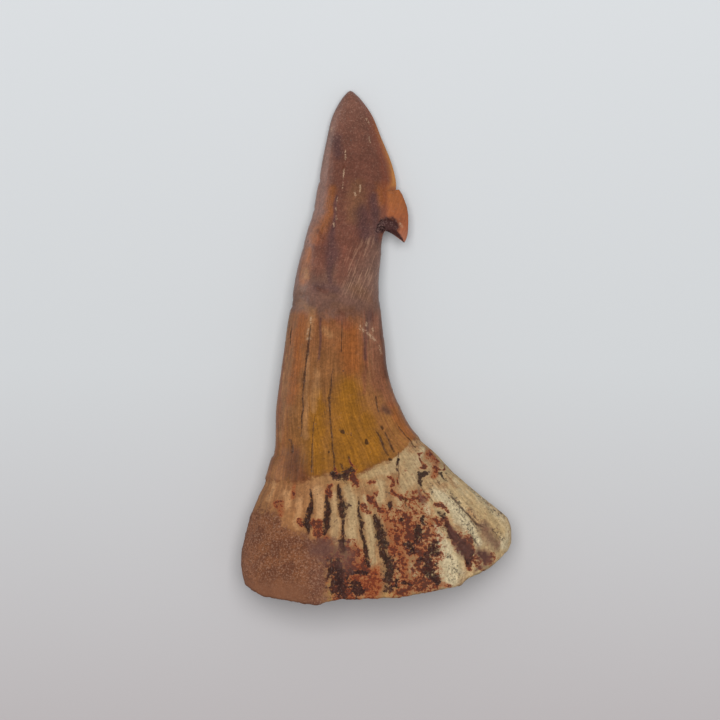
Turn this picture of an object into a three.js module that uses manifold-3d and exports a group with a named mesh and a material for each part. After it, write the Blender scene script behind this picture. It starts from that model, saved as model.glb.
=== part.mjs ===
// A fossil rostral tooth of a giant sawfish, lying on its back: one piece of enamel,
// bone and the sand that turned to stone against it.
//
// Millimetres. X runs across the tooth, Y from its root up to its tip and Z up from the
// surface that it lies on. The origin is on that surface, under the middle of the tooth.
// The tooth is a closed skin rolled round a set of rows that cross it from edge to edge,
// and the barb is a thin blade of the same kind, joined to the right edge.

import * as THREE from 'three';
import { ParametricGeometry } from 'three/addons/geometries/ParametricGeometry.js';
import { mergeVertices } from 'three/addons/utils/BufferGeometryUtils.js';
import Module from 'manifold-3d';

const TAU = Math.PI * 2;

// Driving sizes
const THICKEST = 10.6;      // front to back, through the root
const HOLLOW = 2.2;         // how far the root's end is dished in
const LEDGE = 0.28;         // the step down from the enamel to the root
const SEAM = 0.16;          // the shallow dip along the mended break
const LUMP = 0.09;          // slow unevenness of the whole surface

// Facets: columns over the front and the back, and rows through the thickness of the barb
const FRONT_COLUMNS = 50;
const BACK_COLUMNS = 22;
const EVEN = 0.45;          // how evenly the columns are spaced, against crowding at the edges

// One row of the tooth: its left and right ends, its greatest thickness, how high the back
// arches over the table (below nought it is worn flat) and how much it sags like the rim.
const row = (left, right, thick, lift, sag = 0) => ({ left, right, thick, lift, sag });

const ROWS = [
  row([-3.09, 30.00], [-3.09, 30.00], 0.00, 1.25),
  row([-3.52, 29.80], [-2.66, 29.80], 0.80, 0.85),
  row([-4.32, 28.88], [-1.74, 28.88], 1.70, 0.40),
  row([-5.26, 27.00], [-0.45, 27.00], 2.50, 0.00),
  row([-5.88, 24.60], [0.53, 24.60], 3.05, -0.14),
  row([-6.43, 21.84], [1.67, 21.84], 3.50, -0.12),
  row([-6.76, 19.70], [2.25, 19.60], 3.85, 0.00),
  row([-7.08, 18.30], [2.25, 18.20], 4.10, 0.12),
  row([-7.33, 16.80], [2.05, 16.80], 4.30, 0.25),
  row([-7.63, 15.20], [1.62, 15.30], 4.50, 0.40),
  row([-8.08, 13.80], [0.98, 13.80], 4.70, 0.50),
  row([-8.55, 12.10], [0.60, 12.20], 4.85, 0.60),
  row([-9.02, 10.30], [0.42, 10.30], 5.00, 0.70),
  row([-9.52, 8.30], [0.27, 8.30], 5.20, 0.80),
  row([-9.86, 6.50], [0.27, 6.50], 5.35, 0.85),
  row([-10.07, 4.80], [0.47, 4.70], 5.45, 0.90),
  row([-10.48, 2.60], [0.65, 2.60], 5.70, 0.95),
  row([-10.80, 0.00], [0.95, 0.00], 6.00, 0.95),
  row([-11.22, -2.70], [1.22, -2.70], 6.30, 0.90),
  row([-11.58, -5.40], [1.98, -5.50], 6.70, 0.80),
  row([-11.84, -7.80], [2.90, -7.60], 7.05, 0.70),
  row([-11.90, -10.00], [4.40, -10.10], 7.45, 0.55),
  row([-11.97, -12.00], [6.50, -12.00], 7.90, 0.40),
  row([-12.50, -13.40], [8.10, -13.90], 8.50, 0.20, 0.03),
  row([-13.05, -15.20], [10.10, -15.80], 9.10, 0.00, 0.12),
  row([-13.90, -17.40], [12.45, -17.75], 9.65, -0.15, 0.28),
  row([-14.60, -19.60], [14.20, -19.15], 10.10, -0.25, 0.45),
  row([-15.20, -21.60], [15.35, -20.15], 10.40, -0.30, 0.63),
  row([-15.65, -23.60], [15.80, -21.40], THICKEST, -0.30, 0.82),
  row([-15.83, -25.60], [15.83, -22.80], 10.20, -0.10, 1.00),
];
const RIM = ROWS.length - 1;

// How far the rim hangs below the straight line between its two corners
const RIM_SAG = [
  [-1.00, 0.00], [-0.97, 2.20], [-0.85, 3.55], [-0.65, 4.30], [-0.46, 5.05], [-0.27, 4.75],
  [-0.02, 4.98], [0.17, 5.12], [0.47, 4.65], [0.61, 4.40], [0.67, 3.60], [0.78, 3.05],
  [0.86, 2.30], [0.97, 1.05], [1.00, 0.00],
];

// Steps between rows, finer where the root flares and where its flutes run
const STEPS = [
  { from: 0, to: 3, steps: 6 },
  { from: 3, to: 14, steps: 14 },
  { from: 14, to: 16, steps: 6 },
  { from: 16, to: 21, steps: 7 },
  { from: 21, to: 24, steps: 11 },
  { from: 24, to: RIM, steps: 16 },
];

// The root's end: rings that shrink from the rim to the middle, [share of the rim, depth]
const END_RINGS = [
  [0.96, -0.15], [0.90, -0.12], [0.82, 0.20], [0.68, 1.05], [0.48, 1.75], [0.24, 2.10],
  [0.00, HOLLOW],
];

// Flutes of the root, worn out between its ribs: ends of the middle line, width and depth
const FRONT_FLUTES = [
  { from: [-7.7, -16.2], to: [-8.0, -21.6], width: 1.1, depth: 0.50 },
  { from: [-5.9, -17.3], to: [-6.2, -21.7], width: 0.9, depth: 0.50 },
  { from: [-4.4, -16.6], to: [-3.9, -23.6], width: 0.9, depth: 0.45 },
  { from: [-2.2, -18.2], to: [-1.2, -24.4], width: 0.7, depth: 0.30 },
  { from: [-0.3, -19.4], to: [1.0, -24.7], width: 1.3, depth: 0.65 },
  { from: [1.5, -24.3], to: [2.1, -28.2], width: 1.4, depth: 0.60 },
  { from: [3.6, -21.5], to: [5.6, -27.6], width: 2.6, depth: 0.60 },
  { from: [7.3, -20.4], to: [11.6, -25.8], width: 1.8, depth: 0.70 },
  { from: [11.6, -20.7], to: [14.0, -23.0], width: 1.3, depth: 0.40 },
  { from: [8.7, -17.4], to: [12.0, -20.7], width: 0.8, depth: 0.30 },
];
const BACK_FLUTES = [
  { from: [-9.6, -16.4], to: [-11.6, -23.5], width: 1.9, depth: 0.45 },
  { from: [-6.6, -16.8], to: [-7.6, -20.6], width: 1.7, depth: 0.40 },
  { from: [-2.0, -16.4], to: [-1.9, -19.6], width: 1.7, depth: 0.35 },
  { from: [2.6, -15.6], to: [4.4, -19.6], width: 1.8, depth: 0.40 },
  { from: [6.2, -15.4], to: [10.4, -23.2], width: 2.0, depth: 0.45 },
  { from: [9.4, -16.6], to: [13.2, -21.4], width: 1.7, depth: 0.35 },
];

// Where the enamel ends on the front, from the left edge to the right one
const ENAMEL_END = new THREE.SplineCurve([
  new THREE.Vector2(-13.2, -15.4), new THREE.Vector2(-9.9, -15.7),
  new THREE.Vector2(-5.9, -14.9), new THREE.Vector2(-2.2, -15.1),
  new THREE.Vector2(0.2, -13.8), new THREE.Vector2(2.8, -12.4),
  new THREE.Vector2(4.6, -10.7), new THREE.Vector2(6.2, -9.6),
]);

// The mended break across the middle of the crown
const SEAM_LEFT = [-10.1, 4.7];
const SEAM_RIGHT = [0.4, 4.0];
const SEAM_WIDTH = 1.1;

// The barb: [inner x, inner y, outer x, outer y, half thickness, arch of its underside]
const BARB_ROWS = [
  [-0.2, 19.0, 2.10, 18.85, 0.60, 0],
  [-0.3, 18.2, 2.74, 18.38, 0.70, 0],
  [-0.4, 17.2, 3.18, 17.40, 0.78, 0],
  [-0.5, 16.2, 3.64, 16.20, 0.84, 0],
  [-0.6, 15.2, 3.75, 15.10, 0.86, 0.05],
  [-0.6, 14.6, 3.72, 14.00, 0.84, 0.25],
  [-0.6, 14.2, 3.60, 12.95, 0.78, 0.45],
  [-0.6, 13.9, 3.30, 12.20, 0.66, 0.62],
];
const BARB_MIDDLE = 2.75;   // height of the blade's middle over the table
const BARB_COLUMNS = 14;

const clamp01 = (value) => THREE.MathUtils.clamp(value, 0, 1);

// An eased step: nought at low, one at high, and high may be the smaller of the two
function smooth(low, high, value) {
  const share = clamp01((value - low) / (high - low));
  return share * share * (3 - 2 * share);
}

// A smooth run of the rows' values: the same curve gives the ends and the sizes
const leftEdge = new THREE.CatmullRomCurve3(
  ROWS.map((r) => new THREE.Vector3(r.left[0], r.left[1], 0)), false, 'catmullrom');
const rightEdge = new THREE.CatmullRomCurve3(
  ROWS.map((r) => new THREE.Vector3(r.right[0], r.right[1], 0)), false, 'catmullrom');
const heights = new THREE.CatmullRomCurve3(
  ROWS.map((r) => new THREE.Vector3(r.thick, r.lift, r.sag)), false, 'catmullrom');

// The value at x of a list of [x, value] pairs, eased between them
function between(pairs, x) {
  let index = 1;
  while (index < pairs.length - 1 && x > pairs[index][0]) index += 1;
  const [x0, value0] = pairs[index - 1];
  const [x1, value1] = pairs[index];
  return THREE.MathUtils.lerp(value0, value1, clamp01((x - x0) / (x1 - x0)));
}

// How far point (x, y) is from a straight line, in widths: nought on it, one at its edge
function fromLine(x, y, start, end, width) {
  const line = new THREE.Vector2(end[0] - start[0], end[1] - start[1]);
  const offset = new THREE.Vector2(x - start[0], y - start[1]);
  const along = clamp01(offset.dot(line) / line.lengthSq());
  return offset.addScaledVector(line, -along).length() / (width / 2);
}

// The share of the thickness left at t, from -1 on the left edge to 1 on the right one.
// Both edges are round at the root, and the crown's right edge is a blade above the barb.
function profile(t, rowAt) {
  const thickestAt = -0.12 * smooth(22, 8, rowAt);
  const side = t < thickestAt ? (thickestAt - t) / (1 + thickestAt) : (t - thickestAt) / (1 - thickestAt);
  const fullness = 2 + 0.6 * smooth(18, 26, rowAt);
  const blade = t > thickestAt ? smooth(15, 7, rowAt) : 0;
  const edge = THREE.MathUtils.lerp(0.5, 0.95, blade);
  return Math.pow(Math.max(0, 1 - Math.pow(side, fullness)), edge);
}

// Depth taken from one side at (x, y): flutes, the enamel's ledge and the mended break
function relief(x, y, rowAt, flutes) {
  let depth = 0;
  for (const flute of flutes) {
    const reach = fromLine(x, y, flute.from, flute.to, flute.width * 1.25);
    depth += flute.depth * smooth(1, 0.2, reach);
  }
  if (rowAt > 20) {
    const border = ENAMEL_END.getPoint(clamp01((x + 13.2) / 19.4)).y;
    depth += LEDGE * smooth(0.15, -0.35, y - border) * smooth(-3.2, -0.4, y - border);
  }
  depth += SEAM * smooth(1, 0, fromLine(x, y, SEAM_LEFT, SEAM_RIGHT, SEAM_WIDTH * 2));
  return depth;
}

// Slow swells over the whole surface, as an old tooth has
function lumps(x, y) {
  return LUMP * (Math.sin(x * 0.9 + y * 0.35) + Math.sin(y * 0.62 - x * 0.5 + 1.3));
}

// The skin at row position rowAt, column t, front or back
function skin(rowAt, t, front, target) {
  const along = rowAt / RIM;
  const left = leftEdge.getPoint(along);
  const right = rightEdge.getPoint(along);
  const { x: thick, y: lift, z: sag } = heights.getPoint(along);
  const x = THREE.MathUtils.lerp(left.x, right.x, (t + 1) / 2);
  const y = THREE.MathUtils.lerp(left.y, right.y, (t + 1) / 2) - sag * between(RIM_SAG, t);
  const share = profile(t, rowAt);
  const middle = lift + thick / 2;
  const body = smooth(0, 0.5, share) * smooth(0, 1.5, thick);
  const swell = front ? lumps(x, y) : 0.6 * lumps(x + 5, y);
  const detail = swell - relief(x, y, rowAt, front ? FRONT_FLUTES : BACK_FLUTES);
  const half = (thick / 2) * share + detail * body;
  return target.set(x, y, front ? middle + half : middle - half);
}

// Row positions from the tip to the rim, then the rings of the root's end
const rowPositions = [0];
for (const { from, to, steps } of STEPS) {
  for (let step = 1; step <= steps; step += 1) rowPositions.push(from + ((to - from) * step) / steps);
}
const stacks = rowPositions.length - 1 + END_RINGS.length;
const columns = FRONT_COLUMNS + BACK_COLUMNS;
const endMiddle = ROWS[RIM].lift + ROWS[RIM].thick / 2;

function toothSurface(u, v, target) {
  const column = u * columns;
  const front = column <= FRONT_COLUMNS;
  const share = front ? column / FRONT_COLUMNS : (column - FRONT_COLUMNS) / BACK_COLUMNS;
  const fromRight = (1 - EVEN) * Math.cos(Math.PI * share) + EVEN * (1 - 2 * share);
  const t = THREE.MathUtils.clamp(front ? fromRight : -fromRight, -1, 1);
  const stack = Math.min(Math.round(v * stacks), stacks);
  if (stack < rowPositions.length) {
    skin(rowPositions[stack], t, front, target);
  } else {
    const [scale, depth] = END_RINGS[stack - rowPositions.length];
    const height = skin(RIM, t, front, target).z - endMiddle;
    skin(RIM, t * scale, front, target);
    target.y += depth;
    target.z = endMiddle + height * scale;
  }
  target.z = Math.max(target.z, 0);
}

// The barb: a blade with a lens section, closed at both ends
const barbStacks = BARB_ROWS.length + 1;

function barbSurface(u, v, target) {
  const stack = Math.round(v * barbStacks);
  const capped = stack === 0 || stack === barbStacks;
  const index = THREE.MathUtils.clamp(stack - 1, 0, BARB_ROWS.length - 1);
  const [innerX, innerY, outerX, outerY, half, arch] = BARB_ROWS[index];
  const angle = u * TAU;
  const across = (1 + Math.cos(angle)) / 2;
  const round = Math.pow(Math.abs(Math.sin(angle)), 0.8) * Math.sign(Math.sin(angle));
  const x = THREE.MathUtils.lerp(innerX, outerX, across);
  const y = THREE.MathUtils.lerp(innerY, outerY, across) + arch * Math.sin(Math.PI * across);
  const z = capped ? 0 : half * round * (1.5 - 0.9 * across);
  target.set(x, y, BARB_MIDDLE + z);
}

// A closed solid from a rolled-up surface: shared corners merged, empty faces dropped
const wasm = await Module();
wasm.setup();

function solid(surface, around, along) {
  const sheet = new ParametricGeometry(surface, around, along);
  sheet.deleteAttribute('normal');
  sheet.deleteAttribute('uv');
  const merged = mergeVertices(sheet, 1e-3);
  const corners = merged.getIndex().array;
  const faces = [];
  for (let i = 0; i < corners.length; i += 3) {
    const [a, b, c] = [corners[i], corners[i + 1], corners[i + 2]];
    if (a !== b && b !== c && c !== a) faces.push(a, b, c);
  }
  return new wasm.Manifold(new wasm.Mesh({
    numProp: 3,
    vertProperties: merged.getAttribute('position').array,
    triVerts: new Uint32Array(faces),
  }));
}

const body = solid(toothSurface, columns, stacks);
const barb = solid(barbSurface, BARB_COLUMNS, barbStacks);
const joined = body.add(barb).getMesh();

const toothGeometry = new THREE.BufferGeometry();
toothGeometry.setAttribute('position', new THREE.BufferAttribute(joined.vertProperties, 3));
toothGeometry.setIndex(new THREE.BufferAttribute(joined.triVerts, 1));
toothGeometry.computeVertexNormals();

const fossil = new THREE.MeshStandardMaterial({ color: 0x8a6440, roughness: 0.6, metalness: 0 });
const tooth = new THREE.Mesh(toothGeometry, fossil);
tooth.name = 'sawfish_tooth';

const group = new THREE.Group();
group.add(tooth);

export default group;
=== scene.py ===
# %% [markdown]
# # A fossil tooth of a giant sawfish
# The real object is one tooth from the edge of a sawfish's long snout, buried in sand until it turned to
# stone. It has three zones: a long crown of brown enamel with one barb, a flared root of ivory bone with
# dark sand in its flutes, and a patch of reddish sandstone that never let go of the root. It is one piece,
# so this lesson ends with one mesh: a sheet of quads is rolled round the outline, the barb is pulled out
# of its edge, the relief is pressed in, and masks stored on the vertices tell the material what is where.
# The construction model is loaded first, and nothing may move or outgrow it.

# %% Load the construction model
from itertools import product

import bmesh
import bpy
import numpy as np
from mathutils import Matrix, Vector


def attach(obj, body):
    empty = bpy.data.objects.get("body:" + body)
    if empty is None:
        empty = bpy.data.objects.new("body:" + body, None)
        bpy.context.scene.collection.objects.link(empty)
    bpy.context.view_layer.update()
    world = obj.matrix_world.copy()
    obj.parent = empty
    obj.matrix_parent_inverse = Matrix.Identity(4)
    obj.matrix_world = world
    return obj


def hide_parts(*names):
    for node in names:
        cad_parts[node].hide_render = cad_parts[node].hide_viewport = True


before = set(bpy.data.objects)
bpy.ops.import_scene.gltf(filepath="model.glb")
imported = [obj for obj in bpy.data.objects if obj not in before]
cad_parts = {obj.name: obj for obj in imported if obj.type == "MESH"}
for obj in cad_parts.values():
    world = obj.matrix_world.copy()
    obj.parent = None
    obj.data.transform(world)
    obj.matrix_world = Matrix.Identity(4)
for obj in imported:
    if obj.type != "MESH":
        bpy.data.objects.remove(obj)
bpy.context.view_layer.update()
MM = 0.001
NODE = "sawfish_tooth"

# %% [markdown]
# ## The camera and the light
# The tooth lies on its back and is looked at from straight above. A long lens from half a metre away keeps
# the edges from leaning out. The picture is as wide as 84.6 mm of the table, and the lens follows from
# that: focal length over sensor width is distance over picture width.

# %% Camera straight above
PICTURE_WIDTH = 84.6 * MM
CAMERA_HEIGHT = 480 * MM
OUTLINE_HEIGHT = 4 * MM
PICTURE_CENTRE = (-1.97 * MM, -1.64 * MM)
SENSOR_WIDTH = 36

camera_data = bpy.data.cameras.new("camera")
camera_data.sensor_width = SENSOR_WIDTH
camera_data.lens = SENSOR_WIDTH * (CAMERA_HEIGHT - OUTLINE_HEIGHT) / PICTURE_WIDTH
camera = bpy.data.objects.new("camera", camera_data)
camera.location = (*PICTURE_CENTRE, CAMERA_HEIGHT)
bpy.context.scene.collection.objects.link(camera)
bpy.context.scene.camera = camera
print("lens in mm:", round(camera_data.lens, 1))

# %% [markdown]
# Daylight in a pale room is nearly the same from every side, so much of it comes from the world. A lamp
# overhead keeps the shadows faint. It is left out of reflections, because straight above a glossy crown it
# would only lay a haze over the colours. A window to the left gives nothing but the sheen there. The
# Standard view keeps the colours of the materials as they are mixed.

# %% Soft light
ROOM_TINT = (0.95, 0.97, 1.0, 1)
ROOM_STRENGTH = 0.31
WINDOW = {"place": (-0.88, 0.30, 0.26), "size": 0.44, "power": 2.1, "tint": (1.0, 0.985, 0.96)}
CEILING = {"place": (0.0, 0.10, 0.90), "size": 0.60, "power": 6.7, "tint": (1.0, 0.98, 0.97)}


def soft_lamp(name, place, size, power, tint):
    """A square lamp at place, facing the tooth at the origin."""
    data = bpy.data.lights.new(name, "AREA")
    data.size = size
    data.energy = power
    data.color = tint
    lamp = bpy.data.objects.new(name, data)
    lamp.location = place
    direction = Vector() - Vector(place)
    lamp.rotation_euler = direction.to_track_quat("-Z", "Y").to_euler()
    bpy.context.scene.collection.objects.link(lamp)
    return lamp


world = bpy.data.worlds.new("pale_room")
world.use_nodes = True
background = world.node_tree.nodes["Background"]
background.inputs["Color"].default_value = ROOM_TINT
background.inputs["Strength"].default_value = ROOM_STRENGTH
bpy.context.scene.world = world
soft_lamp("window", **WINDOW).visible_diffuse = False
soft_lamp("ceiling", **CEILING).visible_glossy = False
bpy.context.scene.view_settings.view_transform = "Standard"
print("lamps:", len(bpy.data.lights))

# %% [markdown]
# The table is cool and light beyond the tip and a little darker and warmer on the near side, as paper is
# further from a window. So its colour is a ramp along y. Its material is the first one here, so the helpers
# that add nodes start with it. They all work on the tree that is being built at the time.

# %% A pale table
TABLE_HALF = 1.5
TABLE_DROP = 0.02 * MM
TABLE_NEAR = -45 * MM
TABLE_FAR = 40 * MM
TABLE_TINTS = [(0.0, (0.50, 0.475, 0.48, 1)), (0.5, (0.64, 0.665, 0.68, 1)), (1.0, (0.70, 0.73, 0.75, 1))]


def new_material(name):
    """An empty material, its node tree and its shader."""
    material = bpy.data.materials.new(name)
    material.use_nodes = True
    return material, material.node_tree, material.node_tree.nodes["Principled BSDF"]


def put(kind, sockets, **settings):
    """Add a node, set it up, and link or set its input sockets."""
    node = tree.nodes.new(kind)
    for name, value in settings.items():
        setattr(node, name, value)
    for name, value in sockets.items():
        target = node.inputs[name]
        if isinstance(value, bpy.types.NodeSocket):
            tree.links.new(value, target)
        else:
            target.default_value = value
    return node


def ramp_of(value, stops):
    """A ramp of linear colours along a value, from (place, colour) pairs."""
    ramp = put("ShaderNodeValToRGB", {0: value})
    elements = ramp.color_ramp.elements
    while len(elements) < len(stops):
        elements.new(0.5)
    for element, (position, stop_colour) in zip(elements, stops):
        element.position = position
        element.color = stop_colour
    return ramp.outputs[0]


table_sheet = bmesh.new()
bmesh.ops.create_grid(table_sheet, x_segments=1, y_segments=1, size=TABLE_HALF)
table_mesh = bpy.data.meshes.new("table")
table_sheet.to_mesh(table_mesh)
table_sheet.free()
table_top = bpy.data.objects.new("table", table_mesh)
table_top.location.z = -TABLE_DROP
bpy.context.scene.collection.objects.link(table_top)

table_paint, tree, table_shader = new_material("pale_table")
table_place = put("ShaderNodeSeparateXYZ", {0: put("ShaderNodeTexCoord", {}).outputs["Object"]})
table_range = put("ShaderNodeMapRange", {"Value": table_place.outputs["Y"], "From Min": TABLE_NEAR,
                                         "From Max": TABLE_FAR})
tree.links.new(ramp_of(table_range.outputs[0], TABLE_TINTS), table_shader.inputs["Base Color"])
table_shader.inputs["Roughness"].default_value = 0.9
table_shader.inputs["Specular IOR Level"].default_value = 0.2
table_mesh.materials.append(table_paint)
print("stage: one table of", 2 * TABLE_HALF, "m")

# %% [markdown]
# ## The form of the tooth
# A tooth that grew can be described by rows that cross it from its left edge to its right edge, from the tip
# down to the rim of the root. Each row knows its two ends, how thick the tooth is there and how high its back
# arches over the table. The rows are the construction model's own, in millimetres, and everything between
# them is eased with a smooth curve, so a few dozen rows hold the whole outline.

# %% Rows from the tip to the rim
THICKEST = 10.6
LUMP = 0.09
ROWS = np.array([
    # left x, left y, right x, right y, thickness, lift of the back, share of the rim's sag
    (-3.09, 30.18, -3.09, 30.18, 0.00, 1.25, 0.00),
    (-3.50, 29.96, -2.66, 29.96, 0.80, 0.85, 0.00),
    (-4.26, 29.00, -1.74, 29.00, 1.70, 0.40, 0.00),
    (-5.26, 27.06, -0.45, 27.06, 2.50, 0.00, 0.00),
    (-5.88, 24.60, 0.53, 24.60, 3.05, -0.14, 0.00),
    (-6.43, 21.84, 1.67, 21.84, 3.50, -0.12, 0.00),
    (-6.76, 19.70, 2.25, 19.60, 3.85, 0.00, 0.00),
    (-7.08, 18.30, 2.25, 18.20, 4.10, 0.12, 0.00),
    (-7.33, 16.80, 2.05, 16.80, 4.30, 0.25, 0.00),
    (-7.63, 15.20, 1.62, 15.30, 4.50, 0.40, 0.00),
    (-8.08, 13.80, 0.98, 13.80, 4.70, 0.50, 0.00),
    (-8.55, 12.10, 0.60, 12.20, 4.85, 0.60, 0.00),
    (-9.02, 10.30, 0.42, 10.30, 5.00, 0.70, 0.00),
    (-9.52, 8.30, 0.27, 8.30, 5.20, 0.80, 0.00),
    (-9.86, 6.50, 0.27, 6.50, 5.35, 0.85, 0.00),
    (-10.07, 4.80, 0.47, 4.70, 5.45, 0.90, 0.00),
    (-10.48, 2.60, 0.65, 2.60, 5.70, 0.95, 0.00),
    (-10.80, 0.00, 0.95, 0.00, 6.00, 0.95, 0.00),
    (-11.22, -2.70, 1.22, -2.70, 6.30, 0.90, 0.00),
    (-11.58, -5.40, 1.98, -5.50, 6.70, 0.80, 0.00),
    (-11.84, -7.80, 2.90, -7.60, 7.05, 0.70, 0.00),
    (-11.90, -10.00, 4.40, -10.10, 7.45, 0.55, 0.00),
    (-11.97, -12.00, 6.50, -12.00, 7.90, 0.40, 0.00),
    (-12.50, -13.40, 8.10, -13.90, 8.50, 0.20, 0.03),
    (-13.05, -15.20, 10.10, -15.80, 9.10, 0.00, 0.12),
    (-13.90, -17.40, 12.45, -17.75, 9.65, -0.15, 0.28),
    (-14.60, -19.60, 14.20, -19.15, 10.10, -0.25, 0.45),
    (-15.20, -21.60, 15.35, -20.15, 10.40, -0.30, 0.63),
    (-15.65, -23.60, 15.80, -21.40, THICKEST, -0.30, 0.82),
    (-15.83, -25.60, 15.83, -22.80, 10.20, -0.10, 1.00),
])
LEFT_Y, RIGHT_X, RIGHT_Y, THICK, LIFT = range(1, 6)
RIM = len(ROWS) - 1
RIM_SAG = [
    (-1.00, 0.00), (-0.97, 2.20), (-0.85, 3.55), (-0.65, 4.30), (-0.46, 5.05), (-0.27, 4.75),
    (-0.02, 4.98), (0.17, 5.12), (0.47, 4.65), (0.61, 4.40), (0.67, 3.60), (0.78, 3.05),
    (0.86, 2.30), (0.97, 1.05), (1.00, 0.00),
]


def ease(low, high, value):
    """Nought at low, one at high, eased between. High may be the smaller of the two."""
    share = np.clip((value - low) / (high - low), 0, 1)
    return share * share * (3 - 2 * share)


def between(pairs, place):
    """The value at place of a list of (place, value) pairs."""
    places, values = zip(*pairs)
    return np.interp(place, places, values)


def along_rows(position):
    """The seven values of the rows at each row position, on a smooth curve through them."""
    before = np.clip(np.floor(position).astype(int), 0, RIM - 1)
    step = (position - before)[:, None]
    padded = np.vstack([2 * ROWS[0] - ROWS[1], ROWS, 2 * ROWS[-1] - ROWS[-2]])
    p0, p1, p2, p3 = (padded[before + offset] for offset in range(4))
    return 0.5 * (2 * p1 + (p2 - p0) * step + (2 * p0 - 5 * p1 + 4 * p2 - p3) * step ** 2
                  + (3 * p1 - p0 - 3 * p2 + p3) * step ** 3)


print("rows:", len(ROWS), "over", ROWS[0, LEFT_Y] - ROWS[RIM, LEFT_Y], "mm of the left edge")

# %% [markdown]
# Across a row the tooth swells to its full thickness and thins again to both edges. The root is blunt and
# nearly oval. The crown is oval too, but above the barb its right edge is a cutting edge, so there the
# outline of the section comes to a thin wedge. Slow sine swells keep the whole from looking turned.

# %% The skin of the tooth
LEAN = 0.12
LEAN_ROWS = (22, 8)
ROOT_FULLNESS = 0.6
ROOT_ROWS = (18, 26)
BLADE_THINNESS = 0.45
BLADE_ROWS = (15, 7)
SWELL_FROM_EDGE = 0.5
SWELL_FROM_THICKNESS = 1.5
BACK_SWELL = 0.6
BACK_SHIFT = 5


def profile(across, row):
    """The share of the thickness left at across, from -1 on the left edge to 1 on the right."""
    thickest_at = -LEAN * ease(*LEAN_ROWS, row)
    right = across > thickest_at
    to_right = (across - thickest_at) / (1 - thickest_at)
    to_left = (thickest_at - across) / (1 + thickest_at)
    side = np.clip(np.where(right, to_right, to_left), 0, 1)
    fullness = 2 + ROOT_FULLNESS * ease(*ROOT_ROWS, row)
    blade = np.where(right, ease(*BLADE_ROWS, row), 0)
    return np.maximum(0, 1 - side ** fullness) ** (0.5 + BLADE_THINNESS * blade)


def swells(x, y):
    """Slow unevenness of an old tooth, in millimetres."""
    return LUMP * (np.sin(x * 0.9 + y * 0.35) + np.sin(y * 0.62 - x * 0.5 + 1.3))


def skin(row, across, front):
    """Points of the skin in millimetres. Front is true on the side that faces up."""
    left_x, left_y, right_x, right_y, thick, lift, sag = along_rows(row).T
    part = (across + 1) / 2
    x = left_x + (right_x - left_x) * part
    y = left_y + (right_y - left_y) * part - sag * between(RIM_SAG, across)
    share = profile(across, row)
    middle = lift + thick / 2
    body = ease(0, SWELL_FROM_EDGE, share) * ease(0, SWELL_FROM_THICKNESS, thick)
    swell = np.where(front, swells(x, y), BACK_SWELL * swells(x + BACK_SHIFT, y))
    half = thick / 2 * share + swell * body
    return np.stack([x, y, np.where(front, middle + half, middle - half)], axis=1)


MIDDLE_ROW = 17.0
print("thickness at mid length:", round(float(along_rows(np.array([MIDDLE_ROW]))[0, THICK]), 2), "mm")

# %% [markdown]
# ## Rolling a sheet round the rows
# The skin could be lofted from rings, but a flat grid of quads is simpler: its columns run round the tooth
# and its rows run from the tip to the rim and on into the hollow end of the root. Each corner is moved to
# its place on the skin, and the two sides of the sheet meet along the right edge, where they are merged.
# Rows stand closer at the barb, the mended break and the root, where most of the relief is.

# %% Roll the sheet
FRONT_COLUMNS = 204
BACK_COLUMNS = 92
EVEN = 0.62
STEPS = [(0, 1, 6), (1, 3, 10), (3, 6.5, 24), (6.5, 10.5, 44), (10.5, 13, 16), (13, 16, 28),
         (16, 20, 36), (20, 22, 22), (22, RIM, 104)]
END_RINGS = [
    # share of the rim, depth into the root
    (0.99, -0.04), (0.97, -0.13), (0.94, -0.16), (0.90, -0.12), (0.86, 0.02), (0.82, 0.20),
    (0.76, 0.55), (0.68, 1.05), (0.58, 1.45), (0.48, 1.75), (0.36, 1.97), (0.24, 2.10),
    (0.12, 2.18), (0.00, 2.20),
]

row_places = [0.0]
for start, stop, count in STEPS:
    row_places += list(np.linspace(start, stop, count + 1)[1:])
row_places = np.array(row_places)
LAST_ROW = len(row_places) - 1
STACKS = LAST_ROW + len(END_RINGS)
COLUMNS = FRONT_COLUMNS + BACK_COLUMNS

sheet = bmesh.new()
bmesh.ops.create_grid(sheet, x_segments=COLUMNS, y_segments=STACKS, size=0.5)
tooth_mesh = bpy.data.meshes.new("fossil_tooth")
sheet.to_mesh(tooth_mesh)
sheet.free()


def read_corners(mesh):
    """The corners of a mesh as rows of three numbers."""
    flat = np.empty(len(mesh.vertices) * 3, dtype=np.float32)
    mesh.vertices.foreach_get("co", flat)
    return flat.reshape(-1, 3).astype(float)


def write_corners(mesh, corners):
    """Put rows of three numbers back on the corners of a mesh."""
    mesh.vertices.foreach_set("co", corners.astype(np.float32).ravel())
    mesh.update()


flat_sheet = read_corners(tooth_mesh) + 0.5
column = np.round(flat_sheet[:, 0] * COLUMNS)
stack = np.round(flat_sheet[:, 1] * STACKS).astype(int)
is_front = column <= FRONT_COLUMNS
turn = np.where(is_front, column / FRONT_COLUMNS, (column - FRONT_COLUMNS) / BACK_COLUMNS)
from_right = (1 - EVEN) * np.cos(np.pi * turn) + EVEN * (1 - 2 * turn)
across = np.clip(np.where(is_front, from_right, -from_right), -1, 1)
row = row_places[np.minimum(stack, LAST_ROW)]
ring = np.clip(stack - LAST_ROW, 0, len(END_RINGS))
ring_scale, ring_depth = np.array([(1.0, 0.0)] + END_RINGS)[ring].T

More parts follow.
